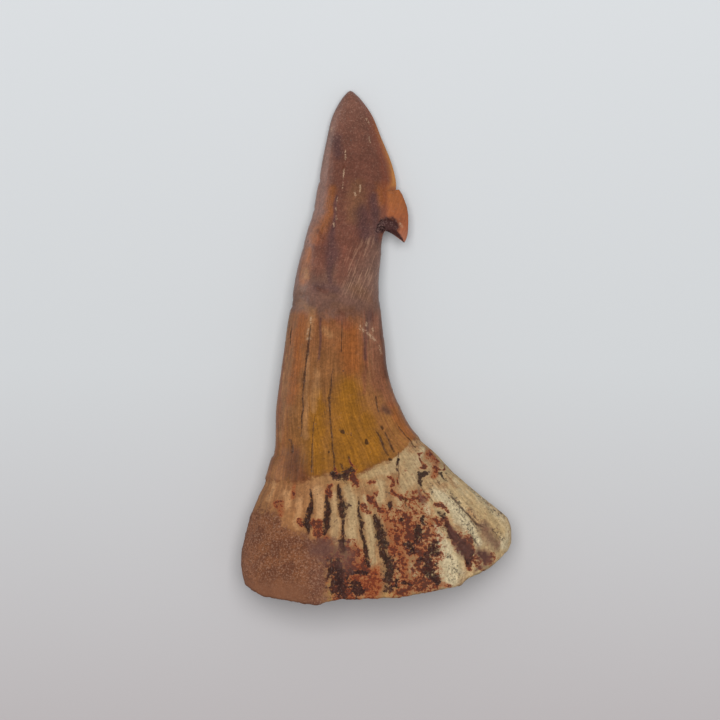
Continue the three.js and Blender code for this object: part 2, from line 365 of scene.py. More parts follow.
points = skin(row, across, is_front)
shrunk = skin(row, across * ring_scale, is_front)
end_middle = ROWS[RIM, LIFT] + ROWS[RIM, THICK] / 2
at_end = ring > 0
points[at_end, 0] = shrunk[at_end, 0]
points[at_end, 1] = shrunk[at_end, 1] + ring_depth[at_end]
points[at_end, 2] = end_middle + ((points[:, 2] - end_middle) * ring_scale)[at_end]
write_corners(tooth_mesh, points * MM)
print("sheet:", COLUMNS, "columns by", STACKS, "rows")

# %% [markdown]
# The relief and the finish need to know where each corner is on the tooth, and the barb is about to be
# pulled out of the mesh, so the place in the rows is written on the corners now. Extruding copies it along.
# Then the sheet is closed: its two long sides are merged, and so are the crowded corners at the tip.

# %% Keep the place of each corner, then close the sheet
WELD = 1e-8
TIP_ZONE = 29.5 * MM
TIP_WELD = 0.03 * MM


def write_mask(mesh, name, values):
    """Store one number per corner under a name that a material can read."""
    layer = mesh.attributes.get(name) or mesh.attributes.new(name, "FLOAT", "POINT")
    layer.data.foreach_set("value", np.asarray(values, dtype=np.float32))


def read_mask(mesh, name):
    """One number per corner, as it was stored."""
    values = np.empty(len(mesh.vertices), dtype=np.float32)
    mesh.attributes[name].data.foreach_get("value", values)
    return values.astype(float)


write_mask(tooth_mesh, "row", row)
write_mask(tooth_mesh, "across", across)
write_mask(tooth_mesh, "hollow", 1 - ring_scale)

tooth = bmesh.new()
tooth.from_mesh(tooth_mesh)
bmesh.ops.remove_doubles(tooth, verts=tooth.verts, dist=WELD)
tip_corners = [v for v in tooth.verts if v.co.y > TIP_ZONE]
bmesh.ops.remove_doubles(tooth, verts=tip_corners, dist=TIP_WELD)
open_edges = [edge for edge in tooth.edges if not edge.is_manifold]
print("closed tooth:", len(tooth.faces), "faces,", len(open_edges), "open edges")

# %% [markdown]
# ## The barb
# The barb isn't stuck on: the cutting edge of the crown runs down into it and turns out. So it is pulled out
# of the edge in the same way. The faces of the right edge between two rows are extruded in short steps, and
# each step puts the new corners a little further along the way from the edge to the barb's outer edge.
# The way is bowed near the lower end, which makes the hook.

# %% Pull the barb out of the edge
BARB_OUTER = [
    # row position, outer x, outer y, bow of the way there
    (6.93, 2.62, 18.50, 0.00), (7.30, 3.00, 17.90, 0.00), (7.70, 3.27, 17.25, 0.00),
    (8.30, 3.60, 16.35, 0.00), (8.80, 3.73, 15.45, 0.05), (9.25, 3.74, 14.55, 0.14),
    (9.60, 3.71, 13.75, 0.26), (9.90, 3.64, 13.05, 0.42), (10.15, 3.46, 12.50, 0.56),
    (10.32, 3.26, 12.18, 0.64),
]
BARB_STEPS = 15
BARB_WRAP = 0.80
BARB_EDGE_HALF = 0.16
BARB_TUCK = 0.10
BARB_FLATNESS = 0.6
BOW_SKEW = 0.7

row_layer = tooth.verts.layers.float["row"]
across_layer = tooth.verts.layers.float["across"]
number_layer = tooth.verts.layers.int.new("barb_number")
pulled_layer = tooth.verts.layers.float.new("pulled")


def in_barb_strip(face):
    """True for faces of the right edge between the barb's first and last rows."""
    return all(BARB_OUTER[0][0] <= v[row_layer] <= BARB_OUTER[-1][0] and v[across_layer] > BARB_WRAP
               for v in face.verts)


def barb_way(v):
    """The start, the end and the bow of the way that a corner of the strip is pulled along."""
    at = v[row_layer]
    places, outer_x, outer_y, bows = zip(*BARB_OUTER)
    values = along_rows(np.array([at]))[0]
    middle = values[LIFT] + values[THICK] / 2
    share = min(1, (1 - v[across_layer]) / (1 - BARB_WRAP))
    side = 1 if v.co.z > middle * MM else -1
    end = Vector((np.interp(at, places, outer_x) - BARB_TUCK * share * share,
                  np.interp(at, places, outer_y),
                  middle + side * BARB_EDGE_HALF * share ** BARB_FLATNESS)) * MM
    return v.co.copy(), end, np.interp(at, places, bows) * MM


strip = [face for face in tooth.faces if in_barb_strip(face)]
ways = []
for v in {v for face in strip for v in face.verts}:
    ways.append(barb_way(v))
    v[number_layer] = len(ways)
for step in range(1, BARB_STEPS + 1):
    share = step / BARB_STEPS
    grown = bmesh.ops.extrude_face_region(tooth, geom=strip)["geom"]
    spent = [face for face in strip if face.is_valid]
    bmesh.ops.delete(tooth, geom=spent, context="FACES")
    strip = [item for item in grown if isinstance(item, bmesh.types.BMFace)]
    for v in (item for item in grown if isinstance(item, bmesh.types.BMVert)):
        start, end, bow = ways[v[number_layer] - 1]
        v.co = start.lerp(end, share) + Vector((0, bow * np.sin(np.pi * share ** BOW_SKEW), 0))
        v[pulled_layer] = (v.co - start).length / MM
bmesh.ops.recalc_face_normals(tooth, faces=tooth.faces)
open_edges = [edge for edge in tooth.edges if not edge.is_manifold]
print("barb:", len(ways), "corners pulled out,", len(open_edges), "open edges in the tooth")

# %% [markdown]
# ## Where things are on the tooth
# Sand, stains and cracks follow lines on the tooth: a flute, a rib, the edge of a flake. They could be
# painted on a texture, but points in a list can be moved one by one, and relief and colour come from the
# same place. Each line is a few points with a width at each, in millimetres, seen from above. A field is
# one on such a line, nought at its edge and below nought outside.

# %% Fields along lines
SHORTEST = 1e-9
LATTICE = 40
LATTICE_SHIFT = 900


def line_field(x, y, lines):
    """One on a line, nought at its edge, minus one a half width further out."""
    field = np.full(len(x), -1.0)
    for line in lines:
        for (x0, y0, w0), (x1, y1, w1) in zip(line, line[1:]):
            reach = max(w0, w1)
            near = np.flatnonzero((np.abs(x - (x0 + x1) / 2) < abs(x1 - x0) / 2 + reach)
                                  & (np.abs(y - (y0 + y1) / 2) < abs(y1 - y0) / 2 + reach))
            run = np.array([x1 - x0, y1 - y0])
            offset = np.stack([x[near] - x0, y[near] - y0], axis=1)
            part = np.clip(offset @ run / max(run @ run, SHORTEST), 0, 1)
            gap = np.linalg.norm(offset - part[:, None] * run, axis=1)
            here = 1 - gap / ((w0 + (w1 - w0) * part) / 2)
            field[near] = np.maximum(field[near], np.maximum(here, -1))
    return field


def value_noise(places, size, seed):
    """Smooth random values from -1 to 1 at places, with swells about size across."""
    lattice = np.random.default_rng(seed).uniform(-1, 1, (LATTICE, LATTICE, LATTICE))
    scaled = places / np.array(size) + LATTICE_SHIFT
    cell = np.floor(scaled).astype(int)
    part = scaled - cell
    part = part * part * (3 - 2 * part)
    total = np.zeros(len(places))
    for corner in product((0, 1), repeat=3):
        weight = np.prod(np.where(np.array(corner), part, 1 - part), axis=1)
        total += weight * lattice[tuple(((cell + corner) % LATTICE).T)]
    return total


tooth_mesh.clear_geometry()
tooth.to_mesh(tooth_mesh)
tooth.free()
corners = read_corners(tooth_mesh) / MM
x, y, z = corners.T
normals = np.empty(len(corners) * 3, dtype=np.float32)
tooth_mesh.vertices.foreach_get("normal", normals)
normals = normals.reshape(-1, 3).astype(float)
row = read_mask(tooth_mesh, "row")
across = read_mask(tooth_mesh, "across")
hollow = read_mask(tooth_mesh, "hollow")
pulled = read_mask(tooth_mesh, "pulled")
facing_up = ease(-0.35, 0.25, normals[:, 2])
outside = ease(0.10, 0.02, hollow)
print("corners:", len(corners), "- triangles:", sum(len(p.vertices) - 2 for p in tooth_mesh.polygons))

# %% [markdown]
# Sand sits in the flutes of the root, which run from the enamel down to the rim. All the lists hold points as
# x, y and width.

# %% Flutes of the root
FLUTES = [
    [(-7.75, -16.6, 0.15), (-7.75, -17.6, 0.4), (-7.75, -18.9, 0.5), (-7.9, -20.0, 0.7), (-8.1, -20.7, 1.0),
     (-8.2, -21.7, 0.4)],
    [(-5.95, -17.2, 0.3), (-5.85, -18.3, 0.65), (-5.9, -19.8, 0.9), (-6.0, -21.0, 0.9), (-6.2, -21.8, 0.5)],
    [(-4.4, -16.2, 0.3), (-4.3, -17.4, 0.6), (-4.0, -18.5, 1.05), (-4.05, -19.2, 0.7), (-4.0, -20.6, 0.4),
     (-3.9, -21.8, 0.6), (-3.95, -22.9, 0.7), (-4.1, -23.8, 0.7)],
    [(-2.2, -17.8, 0.15), (-2.1, -19.5, 0.35), (-1.95, -20.8, 0.5), (-1.7, -21.9, 0.42), (-1.5, -23.0, 0.3),
     (-1.2, -24.4, 0.35), (-1.1, -25.4, 0.3)],
    [(-0.35, -19.8, 0.6), (0.05, -20.5, 0.9), (0.35, -21.6, 1.1), (0.7, -22.8, 1.1), (0.95, -24.0, 0.9),
     (1.05, -24.8, 0.7)],
    [(1.5, -25.1, 1.25), (1.5, -26.4, 1.3), (1.3, -27.8, 1.1)],
    [(8.0, -21.0, 0.9), (8.7, -21.8, 1.2), (9.3, -22.4, 0.8)],
    [(9.8, -23.1, 0.9), (10.5, -24.0, 1.3), (10.6, -25.2, 0.7)],
]
print("root:", len(FLUTES), "flutes")

# %% [markdown]
# Dark sand fills hollows between the ribs too, and small pits near the enamel. The back has plainer flutes of
# its own.

# %% Hollows of the root
HOLLOWS = [
    [(-4.4, -25.4, 1.2), (-4.3, -26.8, 2.3), (-4.2, -28.5, 2.2)],
    [(-5.5, -24.9, 1.0), (-5.4, -26.0, 0.9), (-5.95, -27.0, 0.3)],
    [(-2.5, -27.8, 0.9), (-2.1, -28.7, 0.9)],
    [(-2.9, -26.2, 0.9), (-1.5, -26.3, 0.6)],
    [(4.9, -20.9, 0.7), (5.0, -22.3, 0.7)],
    [(3.8, -23.0, 1.1), (4.0, -24.0, 0.6)],
    [(6.75, -22.9, 0.7), (6.4, -24.2, 1.3), (5.3, -24.9, 1.1), (6.2, -25.8, 1.4), (6.6, -26.8, 1.1),
     (6.75, -27.6, 0.6)],
    [(2.5, -20.1, 0.6), (2.7, -20.3, 0.6)],
    [(5.4, -19.9, 0.7), (5.7, -20.4, 0.6)],
    [(3.3, -27.3, 0.5), (3.8, -27.6, 0.4)],
    [(2.5, -26.9, 0.4), (2.5, -27.8, 0.4)],
    [(-4.9, -15.0, 0.9), (-4.1, -15.3, 1.0), (-3.1, -14.9, 0.8)],
    [(5.25, -15.9, 0.6), (5.45, -15.3, 0.5), (5.9, -14.9, 0.5)],
    [(7.5, -15.3, 0.5), (7.9, -15.7, 0.5)],
    [(1.45, -18.4, 0.5), (1.6, -18.7, 0.5)],
    [(7.5, -19.5, 0.4), (7.6, -19.9, 0.4)],
    [(2.4, -13.5, 0.3), (2.45, -14.3, 0.35)],
    [(12.2, -24.0, 0.7), (12.8, -24.6, 0.7)],
]
BACK_FLUTES = [
    [(-9.6, -16.4, 0.6), (-10.6, -20.0, 1.3), (-11.6, -23.5, 0.9)],
    [(-6.6, -16.8, 0.5), (-7.1, -18.6, 1.2), (-7.6, -21.6, 0.6)],
    [(-2.0, -16.4, 0.5), (-1.9, -18.6, 1.0), (-2.4, -24.6, 0.5)],
    [(2.6, -15.6, 0.6), (3.6, -18.0, 1.2), (4.6, -22.6, 0.7)],
    [(6.2, -15.4, 0.6), (8.4, -19.4, 1.3), (10.4, -23.2, 0.9)],
    [(9.4, -16.6, 0.5), (11.4, -19.0, 1.1), (13.2, -21.4, 0.8)],
]
print("root:", len(HOLLOWS), "hollows, and", len(BACK_FLUTES), "flutes on the back")

# %% [markdown]
# On the open bone at the right the sand has thinned to grey specks. The ribs there and between the flutes are
# chalky, because they were worn most. On the left their pale colour is also a painted highlight on the
# ridges.

# %% Grey specks and chalky ribs
GREY_SPECKS = [
    [(8.5, -17.3, 0.7), (9.3, -18.1, 0.8), (10.1, -18.9, 0.9), (11.0, -20.0, 0.9), (12.0, -20.9, 1.0)],
    [(9.2, -19.2, 0.5), (9.6, -19.8, 0.5)],
    [(10.3, -20.4, 0.9), (11.0, -21.6, 0.9), (11.5, -22.8, 0.8)],
    [(10.7, -16.4, 0.4), (12.0, -17.6, 0.4), (13.2, -18.8, 0.3)],
    [(13.2, -19.2, 0.6), (15.0, -19.9, 0.4)],
    [(1.0, -16.4, 0.4), (1.4, -17.4, 0.5)],
    [(3.5, -18.2, 0.4), (3.6, -18.6, 0.5)],
    [(8.9, -25.5, 0.9), (8.7, -26.8, 0.9), (9.5, -26.6, 0.6)],
    [(8.2, -24.4, 0.6), (8.5, -24.7, 0.6)],
    [(6.2, -16.3, 0.4), (6.6, -17.4, 0.4)],
    [(13.8, -21.5, 0.6), (14.6, -22.5, 0.5)],
]
CHALK = [
    [(-12.0, -15.9, 0.8), (-12.6, -18.0, 0.6)],
    [(-10.6, -17.4, 1.1), (-10.5, -18.6, 0.9)],
    [(-9.15, -17.8, 0.7), (-9.1, -19.4, 0.7), (-9.4, -21.3, 0.5)],
    [(-6.9, -16.6, 0.9), (-6.8, -18.4, 1.0), (-6.8, -19.9, 0.7)],
    [(-5.0, -17.2, 0.7), (-5.0, -19.2, 0.9), (-4.9, -21.5, 0.9), (-4.9, -22.7, 0.6)],
    [(-3.3, -16.6, 0.9), (-2.95, -18.7, 1.3), (-2.9, -21.0, 1.3), (-2.8, -22.6, 1.0)],
    [(-1.4, -17.6, 0.5), (-1.1, -20.4, 0.9), (-0.75, -21.9, 1.1), (-0.6, -24.0, 1.1), (-0.5, -25.0, 0.8)],
    [(-1.6, -15.0, 1.0), (0.0, -14.5, 1.4), (1.4, -14.2, 1.4), (3.2, -12.8, 1.9), (4.0, -13.4, 2.4),
     (3.9, -15.2, 2.2), (3.2, -16.6, 1.3)],
    [(0.3, -16.0, 1.0), (0.4, -18.0, 0.9)],
    [(2.5, -17.9, 0.8), (2.7, -18.8, 0.9)],
    [(5.6, -18.6, 0.8), (5.9, -19.4, 0.6)],
    [(7.0, -17.2, 1.4), (8.2, -18.0, 1.4), (9.2, -19.0, 1.6), (10.2, -20.6, 1.3), (11.1, -21.9, 1.3),
     (11.8, -22.8, 0.9)],
    [(6.9, -21.0, 0.5), (7.5, -22.6, 1.0), (8.1, -24.4, 2.2), (8.6, -26.3, 2.6), (8.6, -27.0, 2.2)],
    [(9.4, -15.7, 0.9), (12.0, -18.6, 1.4), (14.2, -20.6, 1.6), (15.1, -21.8, 1.3), (14.8, -23.4, 1.0)],
    [(3.9, -25.5, 0.5), (4.3, -26.4, 0.6)],
    [(5.2, -11.9, 0.7), (5.0, -13.0, 0.8)],
]
BACK_CHALK = [
    [(-8.1, -17.5, 1.0), (-8.9, -20.6, 1.5), (-9.6, -24.2, 1.2)],
    [(-4.3, -17.0, 1.2), (-4.6, -20.8, 1.8), (-5.0, -25.6, 1.3)],
    [(0.4, -16.6, 1.0), (0.8, -20.4, 1.7), (1.0, -26.4, 1.4)],
    [(4.6, -16.0, 1.0), (6.4, -20.2, 1.6), (7.4, -24.8, 1.3)],
    [(11.8, -18.2, 0.9), (13.6, -21.0, 1.3)],
]
print("root:", len(GREY_SPECKS), "lines of specks and", len(CHALK), "chalky places")

# %% [markdown]
# Iron in the water left rust on the bone. It is thickest in a mottled mass on the right of the middle and
# beside the flutes.

# %% Rust of the root
RUST = [
    [(-5.7, -16.0, 0.8), (-5.6, -17.0, 0.8)],
    [(-3.1, -15.4, 0.9), (-2.3, -16.5, 0.7)],
    [(-1.1, -15.9, 0.6), (-0.5, -16.1, 0.6)],
    [(-1.5, -18.6, 0.7), (-1.2, -19.2, 0.7)],
    [(-0.6, -17.4, 0.6), (-0.2, -18.6, 0.7), (0.4, -19.3, 0.7)],
    [(1.1, -15.3, 0.6), (1.5, -16.0, 0.6), (1.9, -16.6, 0.5)],
    [(2.6, -15.1, 0.4), (2.6, -15.6, 0.4)],
    [(2.1, -17.4, 0.6), (2.8, -17.4, 0.4)],
    [(2.8, -19.5, 0.8), (3.6, -20.4, 0.9), (3.9, -21.8, 1.4), (5.3, -22.6, 1.2), (6.0, -21.4, 0.7)],
    [(3.0, -23.2, 0.7), (4.6, -24.2, 1.2), (4.7, -25.6, 0.6), (5.3, -26.6, 0.6)],
    [(6.8, -18.5, 0.7), (7.6, -18.5, 0.5), (8.1, -19.2, 0.5)],
    [(7.0, -20.3, 0.8), (7.7, -20.4, 0.7)],
    [(5.1, -12.7, 0.4), (5.5, -14.3, 0.5)],
    [(7.0, -15.0, 0.25), (8.2, -14.2, 0.25)],
    [(2.6, -28.4, 1.2), (4.4, -28.2, 1.4), (5.6, -27.8, 1.3), (6.6, -27.5, 1.0)],
    [(3.6, -27.4, 0.8), (4.6, -27.2, 1.0), (5.6, -27.0, 0.8)],
    [(-7.0, -20.5, 0.8), (-6.9, -21.4, 0.7), (-6.9, -22.8, 0.7), (-6.0, -22.8, 0.8)],
    [(-8.6, -20.1, 0.6), (-8.6, -20.8, 0.5)],
    [(-3.1, -24.4, 0.9), (-2.5, -25.3, 1.0), (-1.3, -25.8, 0.8)],
    [(-3.4, -13.2, 0.2), (-2.8, -14.4, 0.4)],
    [(-4.7, -14.0, 0.3), (-4.6, -14.6, 0.5)],
    [(7.8, -20.7, 0.7), (8.6, -21.6, 1.0), (9.4, -22.5, 1.2), (10.4, -23.5, 1.2), (10.8, -24.4, 1.1),
     (10.5, -25.6, 0.6)],
    [(11.6, -25.6, 0.5), (12.6, -25.8, 0.4)],
]
print("root:", len(RUST), "rusty places")

# %% [markdown]
# Where rust is thin it is orange, and wide weak stains lie under all of it. Violet smudges show where the
# sand has gone from the pores again, and near some of its edges the bone is still yellow and waxy.

# %% Thin rust, stains and smudges
ORANGE = [
    [(-0.2, -26.2, 1.3), (-0.1, -28.4, 1.5)],
    [(-2.5, -23.6, 1.0), (-1.9, -24.9, 1.0)],
    [(6.1, -12.5, 0.8), (6.8, -13.6, 0.9), (6.9, -14.6, 0.7), (6.6, -15.3, 0.5)],
    [(2.5, -21.2, 0.9), (2.6, -23.4, 0.9), (3.1, -25.0, 0.9), (3.2, -26.6, 0.9)],
    [(0.7, -19.2, 0.6), (1.3, -20.8, 0.8), (1.7, -22.4, 0.8), (1.9, -24.4, 0.6)],
    [(-6.0, -22.2, 0.9), (-5.3, -22.8, 0.9)],
    [(7.4, -27.8, 0.6), (8.6, -28.0, 0.4)],
    [(-1.5, -27.4, 0.8), (-1.2, -28.8, 0.9)],
    [(6.3, -20.6, 0.6), (6.7, -22.0, 0.5)],
    [(-9.8, -16.2, 0.5), (-9.9, -17.4, 0.5)],
    [(-11.6, -18.6, 0.8), (-11.3, -19.6, 0.8)],
]
STAINED = [
    [(0.6, -19.0, 1.2), (2.2, -19.8, 2.2), (4.4, -20.8, 3.6), (5.0, -22.6, 4.0), (5.6, -24.6, 3.0),
     (5.6, -27.4, 3.0)],
    [(2.2, -22.0, 1.2), (2.6, -26.0, 1.2), (2.8, -28.6, 2.2)],
    [(-3.0, -23.2, 1.3), (-2.3, -24.4, 1.6), (-2.0, -25.8, 2.4), (-1.0, -28.0, 2.8)],
    [(-5.4, -24.6, 1.8), (-4.0, -26.0, 3.0), (-3.6, -28.6, 3.2)],
    [(3.4, -18.4, 1.6), (5.0, -17.6, 1.6)],
    [(11.8, -25.0, 1.4), (13.4, -24.6, 1.0)],
]
SMUDGES = [
    [(12.5, -21.2, 1.3), (13.2, -22.4, 1.6), (13.8, -23.2, 1.2)],
    [(12.0, -24.0, 1.4), (12.8, -24.8, 1.4)],
    [(-7.0, -23.6, 1.6), (-5.4, -23.8, 2.4), (-3.8, -24.2, 2.4), (-3.4, -25.4, 1.8)],
    [(4.8, -16.9, 0.6), (5.4, -17.8, 0.7)],
    [(8.6, -21.4, 1.1), (10.4, -24.2, 1.4)],
    [(11.4, -26.1, 0.4), (12.2, -25.6, 0.5)],
]
YELLOW_RIM = [
    [(-5.5, -27.4, 0.5), (-5.3, -29.5, 0.7)],
    [(-4.2, -29.4, 0.5), (-3.2, -29.4, 0.4)],
    [(1.0, -28.8, 0.8), (2.3, -28.3, 0.9)],
    [(9.4, -15.4, 0.8), (11.6, -18.6, 1.0), (14.6, -21.6, 1.6)],
]
print("root:", len(ORANGE), "orange places,", len(STAINED), "stains and", len(SMUDGES), "smudges")

# %% [markdown]
# The crown dried out in long cracks below the mended break, on both sides. They are thin, and each point's
# width lets them open and close again.

# %% Cracks of the crown
CRACKS = [
    [(-7.75, 2.4, 0.12), (-7.85, 1.0, 0.16), (-7.95, 0.2, 0.2), (-8.1, -1.0, 0.32), (-8.35, -2.2, 0.16),
     (-8.55, -3.9, 0.32), (-8.7, -5.4, 0.16), (-8.7, -7.4, 0.22), (-8.8, -9.0, 0.14), (-8.85, -10.6, 0.10)],
    [(-5.15, -2.6, 0.12), (-5.35, -4.5, 0.14), (-5.5, -6.3, 0.34), (-5.5, -7.0, 0.22), (-5.45, -8.6, 0.14),
     (-5.2, -10.5, 0.18), (-5.05, -12.5, 0.18), (-4.9, -14.4, 0.26)],
    [(-7.3, -8.0, 0.10), (-7.6, -12.0, 0.13), (-7.6, -14.6, 0.16)],
    [(0.0, -9.9, 0.14), (0.5, -11.1, 0.32), (1.4, -12.8, 0.16)],
    [(0.9, -9.9, 0.14), (1.5, -11.2, 0.2), (2.0, -12.3, 0.2)],
    [(2.6, -9.4, 0.12), (3.5, -10.6, 0.16), (4.6, -11.7, 0.14)],
    [(-3.3, -12.9, 0.2), (-2.9, -14.2, 0.25)],
    [(-4.2, -13.7, 0.2), (-4.0, -14.3, 0.2)],
    [(-4.1, 3.0, 0.10), (-4.1, -0.6, 0.10)],
    [(-10.0, -11.0, 0.16), (-10.0, -12.4, 0.3)],
    [(-10.0, 2.0, 0.12), (-10.1, 0.2, 0.12)],
    [(-0.2, -6.0, 0.14), (0.2, -7.6, 0.16)],
    [(4.8, -16.0, 0.12), (5.5, -16.9, 0.16), (6.5, -18.1, 0.12)],
    [(2.5, -12.4, 0.12), (2.6, -15.4, 0.14)],
    [(8.7, -17.4, 0.15), (9.8, -18.7, 0.3), (10.4, -19.3, 0.15), (11.4, -20.4, 0.3), (12.3, -21.1, 0.15)],
    [(10.8, -21.9, 0.2), (11.5, -22.8, 0.25)],
]
BACK_CRACKS = [
    [(-2.4, 6.0, 0.14), (-2.9, 1.0, 0.24), (-3.1, -4.6, 0.28), (-2.7, -10.4, 0.18)],
    [(-6.9, -3.0, 0.14), (-7.2, -8.0, 0.22), (-7.9, -13.6, 0.24)],
    [(0.6, -6.4, 0.14), (1.4, -9.6, 0.22), (2.0, -13.2, 0.16)],
]
print("crown:", len(CRACKS), "cracks, and", len(BACK_CRACKS), "on the back")

# %% [markdown]
# A few deep pits go through the enamel. Pale chips and grains lie on its polish, and sand is packed in the
# notch under the barb.

# %% Pits, chips and the sand under the barb
PITS = [
    [(-4.05, -10.0, 0.45), (-3.95, -10.05, 0.4)],
    [(-1.25, -10.9, 0.3), (-1.2, -11.3, 0.45)],
    [(1.5, -13.2, 0.35), (1.7, -13.2, 0.3)],
    [(3.05, -17.7, 0.28), (3.05, -17.75, 0.28)],
    [(3.4, -17.85, 0.3), (3.4, -17.95, 0.3)],
    [(-5.6, -12.3, 0.2), (-5.6, -12.4, 0.2)],
    [(0.6, -9.4, 0.35), (0.7, -9.6, 0.3)],
]
CHIPS = [
    [(-3.75, 23.1, 0.12), (-3.7, 21.9, 0.16)],
    [(-3.85, 20.7, 0.18), (-3.9, 19.8, 0.2)],
    [(-3.95, 19.1, 0.14), (-4.0, 18.6, 0.14)],
    [(-1.95, 18.9, 0.16), (-2.0, 18.0, 0.14)],
    [(-2.6, 18.2, 0.2), (-2.5, 17.7, 0.2)],
    [(-5.35, 25.5, 0.30), (-5.35, 25.4, 0.26)],
    [(-1.2, 26.8, 0.24), (-0.95, 26.4, 0.2)],
    [(-0.9, 24.8, 0.14), (-0.8, 24.0, 0.14)],
    [(-4.75, 15.2, 0.2), (-4.7, 14.9, 0.2)],
    [(-5.1, 14.4, 0.2), (-5.0, 14.0, 0.16)],
    [(-4.55, 17.4, 0.12), (-4.65, 16.8, 0.14)],
    [(-4.75, 16.3, 0.12), (-4.8, 15.9, 0.14)],
    [(-1.2, 2.55, 0.34), (-1.19, 2.5, 0.34)],
    [(-1.7, 1.9, 0.3), (-1.5, 1.7, 0.24)],
    [(-1.2, 1.7, 0.2), (-0.65, 1.1, 0.3), (-0.1, 0.5, 0.24)],
    [(-0.5, 2.0, 0.24), (-0.4, 1.6, 0.2)],
    [(-1.9, 2.3, 0.2), (-2.0, 1.9, 0.2)],
    [(0.2, 0.1, 0.16), (0.5, -0.8, 0.24)],
    [(-8.0, 2.0, 0.2), (-8.05, 1.5, 0.2)],
    [(-7.7, 3.4, 0.2), (-7.75, 2.7, 0.2)],
    [(-8.1, 0.9, 0.24), (-7.6, 0.8, 0.2)],
    [(2.8, 14.4, 0.3), (3.0, 14.1, 0.3)],
]
BARB_SAND = [
    [(0.1, 13.5, 0.5), (0.3, 14.1, 0.8), (0.8, 14.5, 1.1), (1.4, 14.6, 1.3), (2.0, 14.5, 1.2),
     (2.3, 14.1, 0.9)],
    [(0.6, 13.7, 0.9), (1.2, 14.0, 1.5), (1.8, 14.0, 1.5), (2.1, 13.5, 1.0), (2.6, 13.0, 0.5),
     (3.0, 12.5, 0.3)],
]
print("crown:", len(PITS), "pits and", len(CHIPS), "pale chips")

# %% [markdown]
# Under the polish the enamel has broad soft bands of colour that follow its length. The warm ones are an
# orange glow, tan streaks, and olive and ochre where it is thin over the bone.

# %% Warm bands of the crown
OCHRE_BANDS = [
    [(-3.4, -4.6, 2.4), (-3.4, -6.5, 3.6), (-3.2, -10.0, 4.4), (-3.0, -13.6, 4.6)],
    [(-1.4, -8.5, 2.0), (-0.4, -12.6, 3.0)],
    [(-6.9, -5.6, 1.0), (-6.9, -8.0, 1.9), (-6.9, -14.0, 2.6)],
    *YELLOW_RIM,
]
ORANGE_BANDS = [
    [(-8.9, 3.4, 1.2), (-9.1, 1.4, 1.4), (-9.4, -1.6, 1.1), (-10.0, -6.5, 0.9)],
    [(-5.1, 18.6, 0.8), (-5.4, 17.2, 1.0), (-5.6, 15.6, 0.9), (-6.3, 14.6, 1.2), (-6.9, 13.4, 1.3),
     (-7.3, 12.4, 1.0)],
    [(-3.0, 1.6, 1.8), (-2.9, -0.4, 2.4), (-2.9, -2.4, 2.2)],
    [(4.2, -10.4, 1.4), (2.8, -8.8, 1.4), (1.8, -7.0, 1.0)],
    [(-8.1, 11.2, 0.9), (-8.4, 8.8, 1.2), (-8.6, 7.6, 0.9)],
    [(0.6, 18.4, 1.4), (0.8, 17.2, 1.4)],
]
TAN_BANDS = [
    [(-8.3, 8.9, 0.6), (-8.35, 8.1, 0.7)],
    [(-7.7, 3.8, 0.6), (-7.75, 2.4, 0.9), (-7.9, 1.0, 0.6)],
    [(-6.1, 1.9, 0.8), (-5.6, 1.3, 0.8)],
    [(-8.0, -1.0, 0.4), (-8.2, -5.6, 0.4), (-8.3, -10.5, 0.7)],
    [(-7.0, -3.0, 0.6), (-7.2, -5.5, 1.0), (-7.4, -7.5, 0.6)],
    [(-10.6, -1.0, 0.3), (-11.0, -6.0, 0.4), (-11.3, -11.0, 0.5)],
    [(-8.9, 4.9, 1.2), (-7.6, 4.3, 0.8)],
]
OLIVE_BANDS = [
    [(-2.4, 18.8, 1.4), (-2.5, 16.6, 2.2), (-2.6, 15.0, 1.4)],
    [(-6.4, 6.4, 0.9), (-5.2, 6.0, 0.9)],
    [(-5.3, 4.7, 0.7), (-3.9, 4.4, 0.9), (-2.9, 4.5, 0.6)],
    [(-2.2, 6.6, 1.6), (-1.2, 5.6, 1.2)],
    [(-9.0, 6.4, 1.2), (-9.3, 5.6, 1.0)],
]
print("crown:", len(OCHRE_BANDS + ORANGE_BANDS + TAN_BANDS + OLIVE_BANDS), "warm bands")

# %% [markdown]
# The others are violet where sand shows through, red-brown along the edges and dark before the root. Fine
# hair lines lean across the crown in one place, above the mended break.

# %% Dark bands and hair lines of the crown
VIOLET_BANDS = [
    [(-1.7, 15.8, 1.6), (-1.5, 14.4, 2.0), (-1.3, 13.0, 1.6)],
    [(-0.4, 17.6, 0.8), (-0.2, 15.4, 1.2), (0.0, 12.4, 0.8)],
    [(-4.6, 17.6, 0.2), (-4.9, 16.2, 0.4), (-5.0, 14.8, 0.3), (-5.3, 12.6, 0.9), (-5.35, 11.3, 1.7),
     (-5.4, 10.3, 1.5), (-5.5, 8.7, 0.7), (-5.5, 7.4, 0.5)],
    [(-6.6, 3.2, 0.3), (-6.6, 0.8, 0.25), (-6.8, -1.6, 0.3)],
    [(-7.0, 6.8, 1.2), (-5.0, 6.6, 1.2)],
    [(-0.9, 3.8, 0.9), (-1.2, 2.0, 0.7), (-1.4, -1.4, 0.5)],
    [(-4.8, 24.4, 1.2), (-4.6, 22.6, 1.0)],
    [(0.9, -7.4, 0.9), (1.3, -7.7, 0.9)],
]
